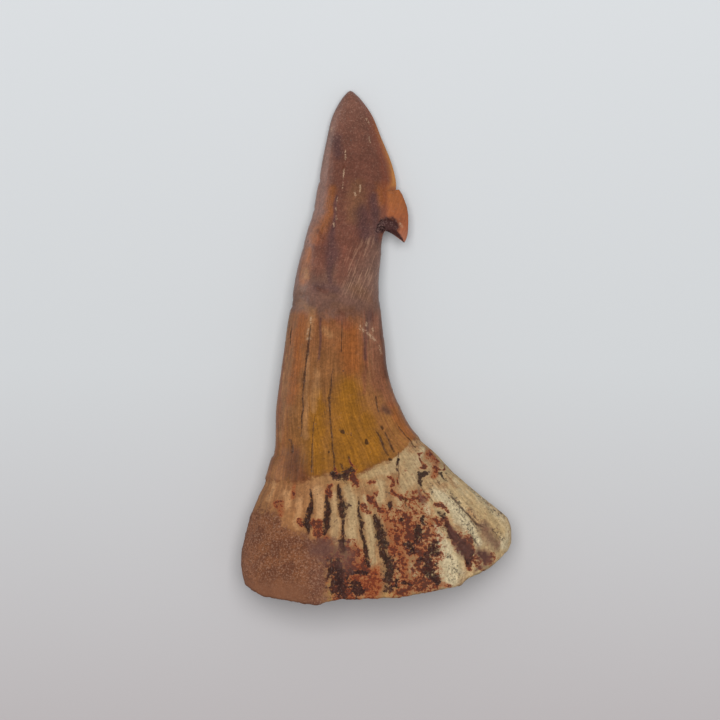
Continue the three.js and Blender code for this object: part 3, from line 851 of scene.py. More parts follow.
RED_BANDS = [
    [(-1.4, -0.3, 0.4), (-1.4, -5.6, 0.4)],
    [(0.0, 3.4, 1.2), (0.1, -0.2, 1.8), (0.4, -4.2, 1.8), (1.7, -6.6, 1.0)],
    [(-10.9, 0.2, 0.5), (-11.2, -4.6, 0.6), (-11.5, -9.4, 0.8)],
    [(-6.7, 12.7, 1.2), (-6.5, 10.8, 1.6), (-6.8, 8.9, 1.3)],
    [(-3.8, 11.6, 1.3), (-3.8, 9.6, 1.8), (-4.2, 7.8, 1.3)],
    [(-4.4, 3.0, 1.0), (-3.4, 2.4, 1.2)],
    [(0.6, 23.6, 0.8), (1.0, 20.6, 1.0), (0.6, 18.9, 0.8)],
]
DARK_BANDS = [
    [(-9.7, -12.6, 1.6), (-9.6, -13.8, 2.6), (-9.0, -14.9, 2.6)],
    [(-3.9, 21.2, 0.3), (-4.0, 20.6, 0.3)],
    [(-6.9, 13.4, 0.5), (-6.4, 12.8, 0.5)],
    [(-6.9, 6.7, 0.4), (-5.9, 6.4, 0.4)],
    [(-4.2, 3.8, 0.5), (-3.8, 3.6, 0.5)],
    [(0.5, 3.0, 0.5), (1.0, -2.8, 0.8), (1.1, -3.6, 0.6)],
]
HAIR_LINES = [
    [(-0.8, 11.8, 1.8), (-1.2, 10.4, 3.0), (-1.7, 8.8, 3.6), (-2.1, 7.0, 3.2)],
]
print("crown:", len(VIOLET_BANDS + RED_BANDS + DARK_BANDS), "violet, red and dark bands")

# %% [markdown]
# Three borders aren't lines but areas: where the enamel ends, where the sandstone still holds on, and the
# long break that was mended. Each is a height in y that changes along x. The amber of the cutting edge is a
# border too: how far in from the right edge the light comes through, at each height.

# %% Borders of the enamel, the sandstone, the break and the amber
ENAMEL_END = [
    # x, y of the border on the front
    (-12.9, -15.5), (-11.8, -15.7), (-9.7, -15.9), (-8.4, -15.6), (-6.1, -15.0), (-5.0, -14.9), (-2.1, -14.9),
    (-1.0, -14.3), (0.2, -13.7), (1.9, -13.2), (2.8, -12.4), (4.1, -11.1), (4.6, -10.7),
]
BACK_ENAMEL_END = [
    (-12.9, -15.5), (-9.0, -14.4), (-6.5, -15.0), (-3.0, -13.6), (0.0, -14.2), (2.6, -12.6), (4.6, -10.7),
]
SANDSTONE_TOP = [
    (-16.0, -19.4), (-14.0, -19.1), (-12.4, -19.3), (-11.2, -20.5), (-9.8, -21.9), (-8.0, -22.0),
    (-5.4, -22.8),
]
SANDSTONE_RIGHT = [(-31.0, -6.0), (-24.7, -5.9), (-23.3, -5.2), (-22.0, -5.4)]
BACK_SANDSTONE_RIGHT = -11.5
BREAK = [(-10.1, 5.3), (-6.5, 5.6), (-3.6, 4.6), (0.4, 5.2)]
BREAK_HALF = 1.25
AMBER_INNER = [
    # y, how far in from the right edge the amber reaches
    (11.0, -4.0), (12.0, -0.6), (13.4, -0.2), (14.6, 0.2), (17.0, 0.7), (18.6, 1.0), (19.4, 0.7),
    (22.0, 0.5), (25.0, 0.32), (26.5, 0.05), (30.0, -0.6),
]

front_bone = between(ENAMEL_END, x) - y
back_bone = between(BACK_ENAMEL_END, x) - y
bone = back_bone + (front_bone - back_bone) * facing_up
sandstone = np.minimum(between(SANDSTONE_TOP, x) - y, between(SANDSTONE_RIGHT, y) - x)
back_sandstone = np.minimum(sandstone, BACK_SANDSTONE_RIGHT - x)
sandstone = np.where(facing_up > 0.5, sandstone, back_sandstone)
break_band = 1 - np.abs(y - between(BREAK, x)) / BREAK_HALF
right_edge = np.interp(y, ROWS[::-1, RIGHT_Y], ROWS[::-1, RIGHT_X])
amber = between(AMBER_INNER, y) - (right_edge - x)
print("enamel covers", round(float(np.mean(bone < 0)) * 100), "% of the corners")

# %% [markdown]
# A drawn line looks ruled, so before a field is measured its place drifts a little with noise. How far is
# written beside each list in millimetres. Where the back has no list of its own, the field stays off there.

# %% Fields from the lists
FIELD_LINES = {
    # name: lines on the front, lines on the back, drift
    "flute": (FLUTES, BACK_FLUTES, 0.30),
    "dark_hollow": (HOLLOWS, (), 0.50),
    "grey_specks": (GREY_SPECKS, (), 0.15),
    "chalk": (CHALK, BACK_CHALK, 0.25),
    "rust": (RUST, (), 0.60),
    "orange": (ORANGE, (), 0.30),
    "stained": (STAINED, STAINED, 0.40),
    "smudge": (SMUDGES, (), 0.30),
    "crack": (CRACKS, BACK_CRACKS, 0.10),
    "pits": (PITS, (), 0.0),
    "chips": (CHIPS, (), 0.05),
    "barb_sand": (BARB_SAND, (), 0.10),
    "ochre_band": (OCHRE_BANDS, OCHRE_BANDS, 0.30),
    "orange_band": (ORANGE_BANDS, (), 0.25),
    "tan_band": (TAN_BANDS, (), 0.20),
    "olive_band": (OLIVE_BANDS, (), 0.30),
    "violet_band": (VIOLET_BANDS, (), 0.15),
    "red_band": (RED_BANDS, RED_BANDS, 0.20),
    "dark_band": (DARK_BANDS, (), 0.20),
    "hair_lines": (HAIR_LINES, (), 0.0),
}
drift_x = value_noise(corners, size=(0.9, 1.2, 0.9), seed=21)
drift_y = value_noise(corners, size=(0.9, 1.6, 0.9), seed=22)


def both_sides(front_lines, back_lines, drift):
    """A field that follows one list of lines on the front and another on the back."""
    front, back = (line_field(x + drift * drift_x, y + drift * drift_y, lines)
                   for lines in (front_lines, back_lines))
    return back + (front - back) * facing_up


FIELDS = {name: both_sides(*lines) for name, lines in FIELD_LINES.items()}
print("fields:", len(FIELDS), "from", sum(len(lines[0]) for lines in FIELD_LINES.values()), "lines")

# %% [markdown]
# ## Pressing in the relief
# Each field now moves the surface along its normals: flutes and cracks go in, chalky ribs stand a little
# proud, the bone steps down from the enamel, and the sandstone is rough. A Displace modifier could do it from
# a texture, but here every corner already knows its place. Noise that is stretched along the tooth gives the
# ribs their fibres. What would go under the table is flattened on it.

# %% Relief along the normals
RELIEF = [
    # field, where it starts and is full, depth in mm, how much of it is on bone alone
    ("flute", -0.1, 0.9, 0.42, 0.0), ("chalk", -0.3, 0.6, -0.10, 1.0), ("dark_hollow", -0.2, 0.7, 0.16, 0.6),
    ("rust", -0.2, 0.6, 0.06, 1.0), ("grey_specks", -0.2, 0.6, 0.08, 1.0), ("crack", 0, 1, 0.14, 0.0),
    ("pits", 0, 0.7, 0.28, 0.0), ("chips", 0, 0.7, -0.02, 0.0), ("barb_sand", 0, 0.8, 0.50, 0.0),
]
EDGE_NICKS = [
    # edge (-1 left, 1 right), y, depth, half length
    (-1, 19.5, 0.10, 0.25), (-1, 16.1, 0.08, 0.20), (-1, 11.6, 0.06, 0.25), (-1, 4.7, 0.12, 0.20),
    (-1, -12.7, 0.10, 0.30), (1, 10.9, -0.08, 0.15), (1, 1.2, 0.05, 0.20), (1, -7.1, -0.06, 0.20),
]
BONE_STEP = 0.20
BREAK_DEPTH = 0.08
STONE_RISE = 0.10
DISH_SHARE = 0.35
DISH_ROUGHNESS = 0.12
DISH_GRAINS = 0.06
FIBRES_ACROSS, FIBRES_ALONG, FIBRES_DEEP = 9, 0.12, 0.5

fibre_place = np.stack([across * FIBRES_ACROSS + pulled, y * FIBRES_ALONG, z * FIBRES_DEEP], axis=1)
fibre = value_noise(fibre_place, size=(0.45, 0.5, 0.8), seed=11)
fine_fibre = value_noise(fibre_place, size=(0.16, 0.2, 0.5), seed=12)
rough = value_noise(corners, size=(0.5, 0.5, 0.5), seed=13)
grains = value_noise(corners, size=(0.22, 0.22, 0.22), seed=14)
swell = value_noise(corners, size=(2.6, 3.4, 2.6), seed=15)
rooty = ease(-0.2, 0.5, bone)
stony = ease(-0.4, 0.6, sandstone)
bare_bone = rooty * (1 - stony)
sandy_notch = ease(0, 0.8, FIELDS["barb_sand"])
TEXTURES = [
    # where it lies, noise, height in mm
    (bare_bone, fibre, 0.08), (bare_bone, fine_fibre, 0.045), (bare_bone, rough, 0.05),
    (1 - rooty, fibre, 0.012), (1 - rooty, fine_fibre, 0.008), (1 - rooty, swell, 0.05),
    (stony, rough, 0.05), (stony, grains, 0.05), (sandy_notch, grains, 0.05),
    (ease(-0.2, 0.8, break_band), rough, -0.05),
]

push = np.zeros(len(corners))
for edge, nick_y, nick_depth, nick_half in EDGE_NICKS:
    push -= nick_depth * np.exp(-((y - nick_y) / nick_half) ** 2) * ease(0.86, 0.97, across * edge)
for name, start, full, depth, bone_share in RELIEF:
    push -= depth * ease(start, full, FIELDS[name]) * (1 - bone_share + bone_share * rooty)
push -= BONE_STEP * ease(-0.15, 0.35, bone) * ease(3.4, 0.6, bone)
push -= BREAK_DEPTH * ease(0, 0.9, break_band)
push += STONE_RISE * stony
for lies_on, texture, height in TEXTURES:
    push += height * lies_on * texture
push *= ease(0, 1.4, along_rows(row)[:, THICK]) * (DISH_SHARE + (1 - DISH_SHARE) * outside)
push += (1 - outside) * (DISH_ROUGHNESS * rough + DISH_GRAINS * grains)
corners += normals * push[:, None]
corners[:, 2] = np.maximum(corners[:, 2], 0)
write_corners(tooth_mesh, corners * MM)
print("relief from", round(float(push.min()), 2), "to", round(float(push.max()), 2), "mm")

# %% [markdown]
# The same fields are stored on the corners as masks, and so is a vector that runs along the tooth's own
# rows, so that the material can draw streaks that follow the crown's taper and the root's flare.

# %% Masks for the material
MASK_LIMIT = 3
GRAIN_ACROSS = 7

# Painted shade: the barb's faces that point down the tooth join the dark sand under it.
barb_underside_shade = ease(-0.25, -0.70, normals[:, 1]) * ease(0.2, 1.2, pulled)
FIELDS["barb_sand"] = np.maximum(FIELDS["barb_sand"], 2 * barb_underside_shade - 1)
MASKS = {"bone": bone, "sandstone": sandstone, "break_band": break_band, "amber": amber, **FIELDS}
for name, values in MASKS.items():
    write_mask(tooth_mesh, name, np.clip(values, -MASK_LIMIT, MASK_LIMIT))
grain_layer = tooth_mesh.attributes.new("grain", "FLOAT_VECTOR", "POINT")
grain = np.stack([across * GRAIN_ACROSS + pulled, y, z], axis=1)
grain_layer.data.foreach_set("vector", grain.astype(np.float32).ravel())
tooth_mesh.shade_smooth()
tooth_piece = bpy.data.objects.new("fossil_tooth", tooth_mesh)
bpy.context.scene.collection.objects.link(tooth_piece)
print("masks:", ", ".join(MASKS))

# %% [markdown]
# ## The finish
# The material is one Principled shader. Everything that decides what it looks like is a mask or a colour,
# worked out before it. Two effects come back many times, so they are node groups: a ragged edge, which
# turns a smooth field into a mask with a natural border, and long grain, the streaks of a grown tooth. The
# Mix node has an input of each name for every kind of value, so its colour inputs are picked by number.

# %% Helpers for nodes
MIX_SHARE, MIX_UNDER, MIX_OVER, MIX_RESULT = 0, 6, 7, 2


def paint(red, green, blue):
    """A colour as the eye reads it, 0 to 255, made linear for the shader."""
    linear = [((part / 255 + 0.055) / 1.055) ** 2.4 for part in (red, green, blue)]
    return (*linear, 1)


def calc(operation, first, second=0.0, clamp=False):
    """A Math node on two values."""
    return put("ShaderNodeMath", {0: first, 1: second}, operation=operation, use_clamp=clamp).outputs[0]


def times(first, second):
    """The product of two values. Of two masks it is the place where they overlap."""
    return calc("MULTIPLY", first, second)


def plus(first, second, clamp=False):
    """The sum of two values."""
    return calc("ADD", first, second, clamp)


def minus(first, second):
    """The first value less the second."""
    return calc("SUBTRACT", first, second)


def swung(noise_value, reach):
    """Noise that swings to both sides of nought."""
    return times(minus(noise_value, 0.5), reach)


def eased(value, low, high, to_low=0.0, to_high=1.0):
    """A value carried smoothly from one range to another."""
    return put("ShaderNodeMapRange",
               {"Value": value, "From Min": low, "From Max": high, "To Min": to_low, "To Max": to_high},
               interpolation_type="SMOOTHSTEP").outputs[0]


def lay_over(mask, under, over, way="MIX"):
    """Lay one colour over another where the mask says so."""
    return put("ShaderNodeMix", {MIX_SHARE: mask, MIX_UNDER: under, MIX_OVER: over}, data_type="RGBA",
               blend_type=way).outputs[MIX_RESULT]


def wash(colour, mask, strength, tint):
    """Lay a tint over a colour through a mask, at less than its full strength."""
    over = paint(*tint) if isinstance(tint, tuple) else tint
    return lay_over(times(mask, strength), colour, over)


def shaded(colour, mask, darkest, lightest):
    """A colour made darker where a mask is nought and lighter where it is one."""
    return lay_over(1.0, colour, eased(mask, 0, 1, darkest, lightest), "MULTIPLY")


def noise(place, scale, detail=3.0, roughness=0.5):
    """Smooth noise from nought to one."""
    return put("ShaderNodeTexNoise",
               {"Vector": place, "Scale": scale, "Detail": detail, "Roughness": roughness}).outputs[0]


def mask_of(name):
    """A mask that is stored on the corners."""
    return put("ShaderNodeAttribute", {}, attribute_name=name).outputs["Fac"]


print("a mid brown of the crown in linear colour:", [round(part, 3) for part in paint(112, 74, 58)])

# %% [markdown]
# A ragged edge is the field plus some noise, cut with a soft threshold. Long grain is noise whose place is
# squeezed across the tooth and stretched along it.

# %% The two node groups
GRAIN_DEPTH = 0.15


def new_group(name, inputs, output):
    """An empty shader node group, and its input and output sockets. An input without a number is a vector."""
    group = bpy.data.node_groups.new(name, "ShaderNodeTree")
    for socket_name, default in inputs.items():
        kind = "NodeSocketVector" if default is None else "NodeSocketFloat"
        socket = group.interface.new_socket(socket_name, in_out="INPUT", socket_type=kind)
        if default is not None:
            socket.default_value = default
    group.interface.new_socket(output, in_out="OUTPUT", socket_type="NodeSocketFloat")
    return group, group.nodes.new("NodeGroupInput").outputs, group.nodes.new("NodeGroupOutput").inputs


ragged_edge, edge_in, edge_out = new_group(
    "ragged_edge", {"Place": None, "Field": 0.0, "Scale": 1.0, "Amount": 0.5, "Softness": 0.2}, "Mask")
tree = ragged_edge
wobble = noise(edge_in["Place"], scale=edge_in["Scale"], detail=8, roughness=0.7)
shifted = put("ShaderNodeMath", {0: minus(wobble, 0.5), 1: edge_in["Amount"], 2: edge_in["Field"]},
              operation="MULTIPLY_ADD").outputs[0]
edge_mask = eased(shifted, times(edge_in["Softness"], -1.0), edge_in["Softness"])
tree.links.new(edge_mask, edge_out["Mask"])

long_grain, grain_in, grain_out = new_group(
    "long_grain", {"Grain": None, "Across": 4.0, "Along": 0.3, "Low": 0.35, "High": 0.65}, "Streaks")
tree = long_grain
split = put("ShaderNodeSeparateXYZ", {0: grain_in["Grain"]}).outputs
stretched = put("ShaderNodeCombineXYZ", {0: times(split[0], grain_in["Across"]),
                                         1: times(split[1], grain_in["Along"]),
                                         2: times(split[2], GRAIN_DEPTH)}).outputs[0]
streak_noise = noise(stretched, scale=1.0, detail=3, roughness=0.55)
tree.links.new(eased(streak_noise, grain_in["Low"], grain_in["High"]), grain_out["Streaks"])
print("groups:", ragged_edge.name, "and", long_grain.name)

# %% [markdown]
# Now the tooth's own material. It reads places in millimetres and the masks on the corners. Four noises, from
# a broad mottle to fine specks, and two kinds of streaks are shared by all its zones, so that they look like
# one object.

# %% Places, noises and streaks of the material
finish, tree, shader = new_material("fossil_finish")
place = put("ShaderNodeTexCoord", {}).outputs["Object"]
in_mm = put("ShaderNodeVectorMath", {0: place, "Scale": 1 / MM}, operation="SCALE").outputs[0]
at_x, at_y = put("ShaderNodeSeparateXYZ", {0: in_mm}).outputs[:2]
along = put("ShaderNodeAttribute", {}, attribute_name="grain").outputs["Vector"]
sideways = mask_of("across")


def from_x(low, high):
    """A mask that comes in from one x to another."""
    return eased(at_x, low, high)


def from_y(low, high):
    """A mask that comes in from one y to another."""
    return eased(at_y, low, high)


def ragged(name, scale, amount, softness):
    """A stored mask with a natural border."""
    return put("ShaderNodeGroup", {"Place": in_mm, "Field": mask_of(name), "Scale": scale, "Amount": amount,
                                   "Softness": softness}, node_tree=ragged_edge).outputs[0]


def streaks(across_scale, along_scale, low, high):
    """Streaks along the tooth's own rows."""
    return put("ShaderNodeGroup", {"Grain": along, "Across": across_scale, "Along": along_scale, "Low": low,
                                   "High": high}, node_tree=long_grain).outputs[0]


mottle = noise(in_mm, scale=0.55, detail=8, roughness=0.65)
blotches = noise(in_mm, scale=1.2, detail=8, roughness=0.72)
specks = noise(in_mm, scale=2.8, detail=5, roughness=0.7)
fine_specks = noise(in_mm, scale=4.8, detail=3, roughness=0.7)
fine_streaks = streaks(across_scale=8.0, along_scale=0.28, low=0.32, high=0.68)
broad_streaks = streaks(across_scale=2.6, along_scale=0.12, low=0.32, high=0.68)
print("nodes before the first colour:", len(tree.nodes))

# %% [markdown]
# The enamel changes along the tooth: a red-brown tip, a dark purplish crown, a lighter orange below the
# mended break and ochre before the root. It changes across it too, so there are three ramps along y, for
# the left edge, the middle and the right edge. The pink brown of the left edge is a painted sheen.

# %% Colour of the enamel
RED_BROWN = (118, 78, 64)
DARK_BROWN = (106, 64, 50)
# Painted sheen: the pale pink brown of the crown's left edge stands for light on its rounded flank.
SHEEN_PINK_BROWN = (134, 98, 85)
ORANGE_BROWN = (134, 84, 52)
DEEP_ORANGE = (142, 82, 38)
GREY_BROWN = (116, 84, 70)
OCHRE = (145, 95, 28)
TAN_BROWN = (136, 94, 60)
UMBER = (122, 78, 44)
LANE_TOP = 31.0
LANE_LENGTH = 48.0
MIDDLE_LANE = [(29, RED_BROWN), (22, DARK_BROWN), (12, DARK_BROWN), (6.4, GREY_BROWN), (4.4, GREY_BROWN),
               (3.2, ORANGE_BROWN), (-3, (134, 88, 50)), (-13, (134, 90, 46)), (-16, UMBER)]
LEFT_LANE = [(29, RED_BROWN), (24, SHEEN_PINK_BROWN), (9, SHEEN_PINK_BROWN), (5, GREY_BROWN), (3, TAN_BROWN),
             (-6, (146, 98, 60)), (-12, (144, 90, 44)), (-16, (148, 98, 56))]
RIGHT_LANE = [(29, RED_BROWN), (20, DARK_BROWN), (12, (112, 78, 65)), (6, (120, 88, 74)),
              (2, (142, 104, 82)), (-4, (134, 90, 60)), (-8, (152, 102, 54)), (-12, (154, 104, 54))]
LANE_BLUR = 5.0


def lane(stops):
    """A ramp of colours along y, from the tip down to the root, with its steps blurred by noise."""
    blur = swung(noise(in_mm, scale=0.5, detail=6, roughness=0.6), LANE_BLUR)
    blurred_y = plus(at_y, blur)
    down = calc("DIVIDE", minus(LANE_TOP, blurred_y), LANE_LENGTH)
    return ramp_of(down, [((LANE_TOP - height) / LANE_LENGTH, paint(*tint)) for height, tint in stops])


enamel = lay_over(eased(sideways, -0.55, -1.0), lane(MIDDLE_LANE), lane(LEFT_LANE))
enamel = lay_over(eased(sideways, 0.30, 0.85), enamel, lane(RIGHT_LANE))
below_break = from_y(5.0, 3.0)
print("enamel: lanes of", len(MIDDLE_LANE), len(LEFT_LANE), len(RIGHT_LANE), "colours")

# %% [markdown]
# The soft bands are laid on first, and then streaks and grains darken and lighten everything. The polished
# crown above the break has a fine leathery grain. The dried enamel below it is streaked along its length.

# %% Bands and streaks of the enamel
BAND_PAINTS = [
    # band, colour, strength, noise amount, softness
    ("ochre_band", OCHRE, 0.95, 1.6, 0.8),
    ("orange_band", DEEP_ORANGE, 0.80, 2.0, 0.9),
    ("olive_band", (124, 86, 56), 0.50, 2.4, 0.9),
    ("red_band", (118, 66, 50), 0.45, 2.0, 0.9),
    ("tan_band", (160, 116, 76), 0.56, 2.4, 0.8),
    ("violet_band", (76, 50, 52), 0.66, 2.0, 0.9),
    ("dark_band", (90, 46, 28), 0.70, 2.4, 0.9),
    ("break_band", (102, 70, 60), 0.50, 3.4, 0.8),
]
STREAK_RED = (124, 68, 46)

for band, tint, strength, amount, softness in BAND_PAINTS:
    band_mask = ragged(band, scale=1.1, amount=amount, softness=softness)
    enamel = wash(enamel, band_mask, strength, tint)
near_edges = calc("MAXIMUM", eased(sideways, -0.62, -0.85), eased(sideways, 0.35, 0.60))
red_streaks = streaks(across_scale=4.2, along_scale=0.07, low=0.50, high=0.62)
enamel = wash(enamel, times(times(red_streaks, below_break), near_edges), 0.36, STREAK_RED)
streaked = shaded(shaded(enamel, fine_streaks, 0.88, 1.12), broad_streaks, 0.92, 1.08)
smooth_enamel = shaded(enamel, broad_streaks, 0.97, 1.03)
enamel = lay_over(below_break, smooth_enamel, streaked)
for grain_noise, depth in ((mottle, 0.10), (specks, 0.12), (fine_specks, 0.08)):
    enamel = shaded(enamel, eased(grain_noise, 0.35, 0.65), 1 - depth, 1 + depth)
print("bands:", ", ".join(band[0] for band in BAND_PAINTS))

# %% [markdown]
# Light gets into the thin cutting edge, so it glows amber with a redder line inside it. It is brightest in a
# thin line above the barb, and the barb's own tip is pink.

# %% Amber of the cutting edge
AMBER_RED = (126, 64, 40)
AMBER_BELOW = (148, 82, 50)
AMBER_ABOVE = (154, 90, 48)
AMBER_BRIGHT = (186, 124, 60)
BARB_PINK = (168, 108, 84)

amber_field = mask_of("amber")
red_line = times(eased(amber_field, -1.2, -0.3), eased(amber_field, 0.3, -0.2))
bright_edge = times(eased(amber_field, 0.10, 0.50), from_y(18.4, 19.4))
glow = lay_over(from_y(14.0, 17.5), paint(*AMBER_BELOW), paint(*AMBER_ABOVE))
glow = lay_over(bright_edge, glow, paint(*AMBER_BRIGHT))
glow = shaded(glow, eased(specks, 0.3, 0.7), 0.92, 1.08)
glow = shaded(glow, eased(mottle, 0.35, 0.65), 0.90, 1.10)
barb_tip = times(times(from_y(14.4, 12.4), from_y(11.4, 11.8)), from_x(1.6, 2.8))
enamel = wash(enamel, red_line, 0.50, AMBER_RED)
enamel = wash(enamel, eased(amber_field, -0.40, 0.25), 0.90, glow)
enamel = wash(enamel, barb_tip, 0.7, BARB_PINK)
print("amber laid along the right edge")

# %% [markdown]
# Then come the marks of the crown, each a colour through its own mask. Fine pale hair lines lean across the
# crown above the break, so their noise is turned before it is stretched. The chips are broken up by specks,
# because they are grains and scratches and not painted lines, and the cracks hold dust in places.

# %% Marks of the enamel
HAIR_ANGLE = 0.36
HAIR_STRETCH = (7.0, 0.5, 0.5)
HAIR_TINT = (168, 132, 106)
SPECK_TINT = (156, 124, 108)
TIP_TINT = (158, 124, 106)
CHIP_TINT = (192, 160, 130)
CRACK_DARK = (54, 36, 30)
CRACK_DUST = (104, 78, 62)

turned = put("ShaderNodeVectorRotate", {"Vector": in_mm, "Angle": HAIR_ANGLE},
             rotation_type="Z_AXIS").outputs[0]
hairs = put("ShaderNodeVectorMath", {0: turned, 1: HAIR_STRETCH}, operation="MULTIPLY").outputs[0]
hair_noise = noise(hairs, scale=1.0, detail=3, roughness=0.6)
hair_patch = ragged("hair_lines", scale=1.0, amount=2.0, softness=0.7)
enamel = wash(enamel, times(hair_patch, eased(hair_noise, 0.52, 0.60)), 0.46, HAIR_TINT)
polished = times(from_y(3.5, 6.0), from_y(20.0, 16.0))
enamel = shaded(enamel, times(polished, eased(hair_noise, 0.40, 0.62)), 1.0, 1.16)
enamel = wash(enamel, times(eased(fine_specks, 0.57, 0.65), from_y(4.0, 7.0)), 0.22, SPECK_TINT)
enamel = wash(enamel, times(eased(fine_specks, 0.54, 0.64), from_y(22.0, 28.0)), 0.40, TIP_TINT)
chips = ragged("chips", scale=3.4, amount=4.0, softness=0.7)
enamel = wash(enamel, times(chips, eased(fine_specks, 0.40, 0.56)), 0.72, CHIP_TINT)
cracks = ragged("crack", scale=2.6, amount=4.0, softness=0.7)
crack_paint = wash(paint(*CRACK_DARK), eased(blotches, 0.48, 0.56), 0.8, CRACK_DUST)
enamel = wash(enamel, times(cracks, eased(specks, 0.32, 0.46)), 0.80, crack_paint)
print("marks laid over the enamel")

# %% [markdown]
# The bone is ivory on the right and browner on the left, with fibres along it, chalky on the ribs and yellow
# where it is still waxy. On the left ribs the chalk is also a painted highlight. One ivory with noise would
# look like plaster, so three colours are mixed from left to right first, and the fibres and specks come last,
# over all of them.

# %% Colour of the bone
LEFT_BONE = (156, 108, 68)
MIDDLE_BONE = (166, 128, 88)
RIGHT_BONE = (186, 160, 118)
BONE_SHADE = (148, 100, 64)
# Chalk on the left ribs, made pale enough to be also a painted highlight on the ridges.
LEFT_CHALK_AND_HIGHLIGHT = (184, 136, 92)
MIDDLE_CHALK = (180, 154, 114)
RIGHT_CHALK = (205, 189, 153)
WAXY_YELLOW = (176, 138, 82)
THIN_RUST = (152, 86, 50)

fibres = streaks(across_scale=5.0, along_scale=0.25, low=0.30, high=0.70)
rightward = from_x(-9.5, -2.0)
far_right = from_x(3.0, 8.0)
ivory = lay_over(rightward, paint(*LEFT_BONE), paint(*MIDDLE_BONE))
ivory = lay_over(far_right, ivory, paint(*RIGHT_BONE))
ivory = wash(ivory, eased(mottle, 0.46, 0.60), 0.50, BONE_SHADE)
chalk_and_highlight = lay_over(rightward, paint(*LEFT_CHALK_AND_HIGHLIGHT), paint(*MIDDLE_CHALK))
chalk_and_highlight = lay_over(far_right, chalk_and_highlight, paint(*RIGHT_CHALK))
chalk_mask = ragged("chalk", scale=1.5, amount=2.4, softness=0.7)
ivory = wash(ivory, chalk_mask, 0.88, chalk_and_highlight)
waxy_mask = ragged("ochre_band", scale=1.2, amount=2.0, softness=0.9)
ivory = wash(ivory, waxy_mask, 0.55, WAXY_YELLOW)
ivory = wash(ivory, eased(mask_of("orange"), -0.9, 0.6), 0.65, THIN_RUST)
ivory = shaded(shaded(ivory, fibres, 0.86, 1.12), eased(specks, 0.3, 0.7), 0.84, 1.14)
print("bone mixed from left, middle and right")

# %% [markdown]
# Freckles and dots of rust are scattered over the bone, and its cracks are darker than those of the enamel.
# Then it is laid beside the enamel, with a brown line where they meet.

# %% Marks of the bone and its border
FRECKLE_BROWN = (108, 74, 54)
RUST_DOT = (126, 72, 50)
BONE_CRACK = (70, 50, 42)
BORDER_BROWN = (112, 62, 38)
BORDER_AT = 0.05

freckles = times(eased(fine_specks, 0.55, 0.64), eased(blotches, 0.46, 0.58))
ivory = wash(ivory, freckles, 0.50, FRECKLE_BROWN)
dot_noise = noise(in_mm, scale=1.9, detail=6, roughness=0.7)
ivory = wash(ivory, times(eased(dot_noise, 0.59, 0.65), from_x(-4.0, 0.5)), 0.60, RUST_DOT)
bone_cracks = ragged("crack", scale=2.4, amount=3.0, softness=0.6)
ivory = wash(ivory, bone_cracks, 0.75, BONE_CRACK)

bone_mask = ragged("bone", scale=1.4, amount=1.4, softness=0.18)
colour = lay_over(bone_mask, enamel, ivory)
border = eased(calc("ABSOLUTE", minus(mask_of("bone"), BORDER_AT)), 0.40, 0.05)
colour = wash(colour, times(border, eased(blotches, 0.42, 0.58)), 0.60, BORDER_BROWN)
print("bone laid beside the enamel")

# %% [markdown]
# Rust isn't one colour. Where it is thin it is orange, and where it is thick red-brown. A mask for each
# colour would leave seams, so all the rusty fields make one strength, noise wears it, and a ramp turns the
# strength into colour. At the lower rim the stain is calmer and a little thicker.

# %% Rust stains of the root
STAIN_STRENGTHS = [
    # field, where it starts and ends, full strength
    ("rust", -1.0, 0.9, 0.82), ("orange", -1.0, 0.8, 0.48), ("stained", -0.9, 0.5, 0.52),
]
STAIN_STOPS = [(0.20, (184, 132, 90)), (0.40, (162, 90, 50)), (0.56, (128, 56, 32)), (0.78, (84, 44, 36))]
WEAR = 2.8
SPECK_WEAR = 3.0

raw_stain = 0.0
for field, low, high, strength in STAIN_STRENGTHS:
    raw_stain = calc("MAXIMUM", raw_stain, eased(mask_of(field), low, high, 0, strength))
calm = times(from_y(-24.4, -26.0), from_x(2.4, 1.0))
raw_stain = plus(raw_stain, times(calm, eased(raw_stain, 0.0, 0.3, 0, 0.06)))
rust_noise = noise(in_mm, scale=1.25, detail=8, roughness=0.75)
worn = plus(swung(rust_noise, WEAR), swung(specks, SPECK_WEAR))
worn = times(worn, minus(1.0, times(calm, 0.50)))
stain = plus(raw_stain, times(worn, eased(raw_stain, 0.0, 0.25)))
stain_paint = ramp_of(stain, [(place, paint(*tint)) for place, tint in STAIN_STOPS])
stain_paint = shaded(stain_paint, eased(fine_specks, 0.3, 0.7), 0.85, 1.15)
colour = wash(colour, eased(stain, 0.14, 0.60), 0.95, stain_paint)
print("stains:", len(STAIN_STRENGTHS), "fields on one ramp of", len(STAIN_STOPS), "colours")

# %% [markdown]
# Violet-black sand fills the flutes and hollows, with its own torn edges and pale grains in it. In the flutes
# at the right it is thin and the bone shows through.

# %% Dark sand of the root
SAND_BLACK = (40, 26, 26)
SAND_RED = (74, 42, 34)
SAND_GRAIN = (122, 104, 94)
GREY_SAND = (68, 58, 52)
TEAR = 4.6
SPECK_TEAR = 4.0

torn = plus(swung(blotches, TEAR), swung(specks, SPECK_TEAR))
dark_field = plus(calc("MAXIMUM", mask_of("flute"), mask_of("dark_hollow")), torn)
thin_sand = times(from_x(6.5, 8.0), eased(rust_noise, 0.50, 0.56))
dark_mask = times(eased(dark_field, -0.30, 0.30), minus(1.0, times(thin_sand, 0.70)))
dark_paint = lay_over(eased(rust_noise, 0.46, 0.60), paint(*SAND_BLACK), paint(*SAND_RED))
dark_paint = wash(dark_paint, eased(fine_specks, 0.54, 0.66), 0.45, SAND_GRAIN)
colour = wash(colour, dark_mask, 0.94, dark_paint)
grey_noise = noise(in_mm, scale=3.2, detail=6, roughness=0.75)
grey_mask = times(eased(mask_of("grey_specks"), -1.0, 0.3), eased(grey_noise, 0.51, 0.57))
colour = wash(colour, grey_mask, 0.80, GREY_SAND)
print("dark sand laid in the flutes")

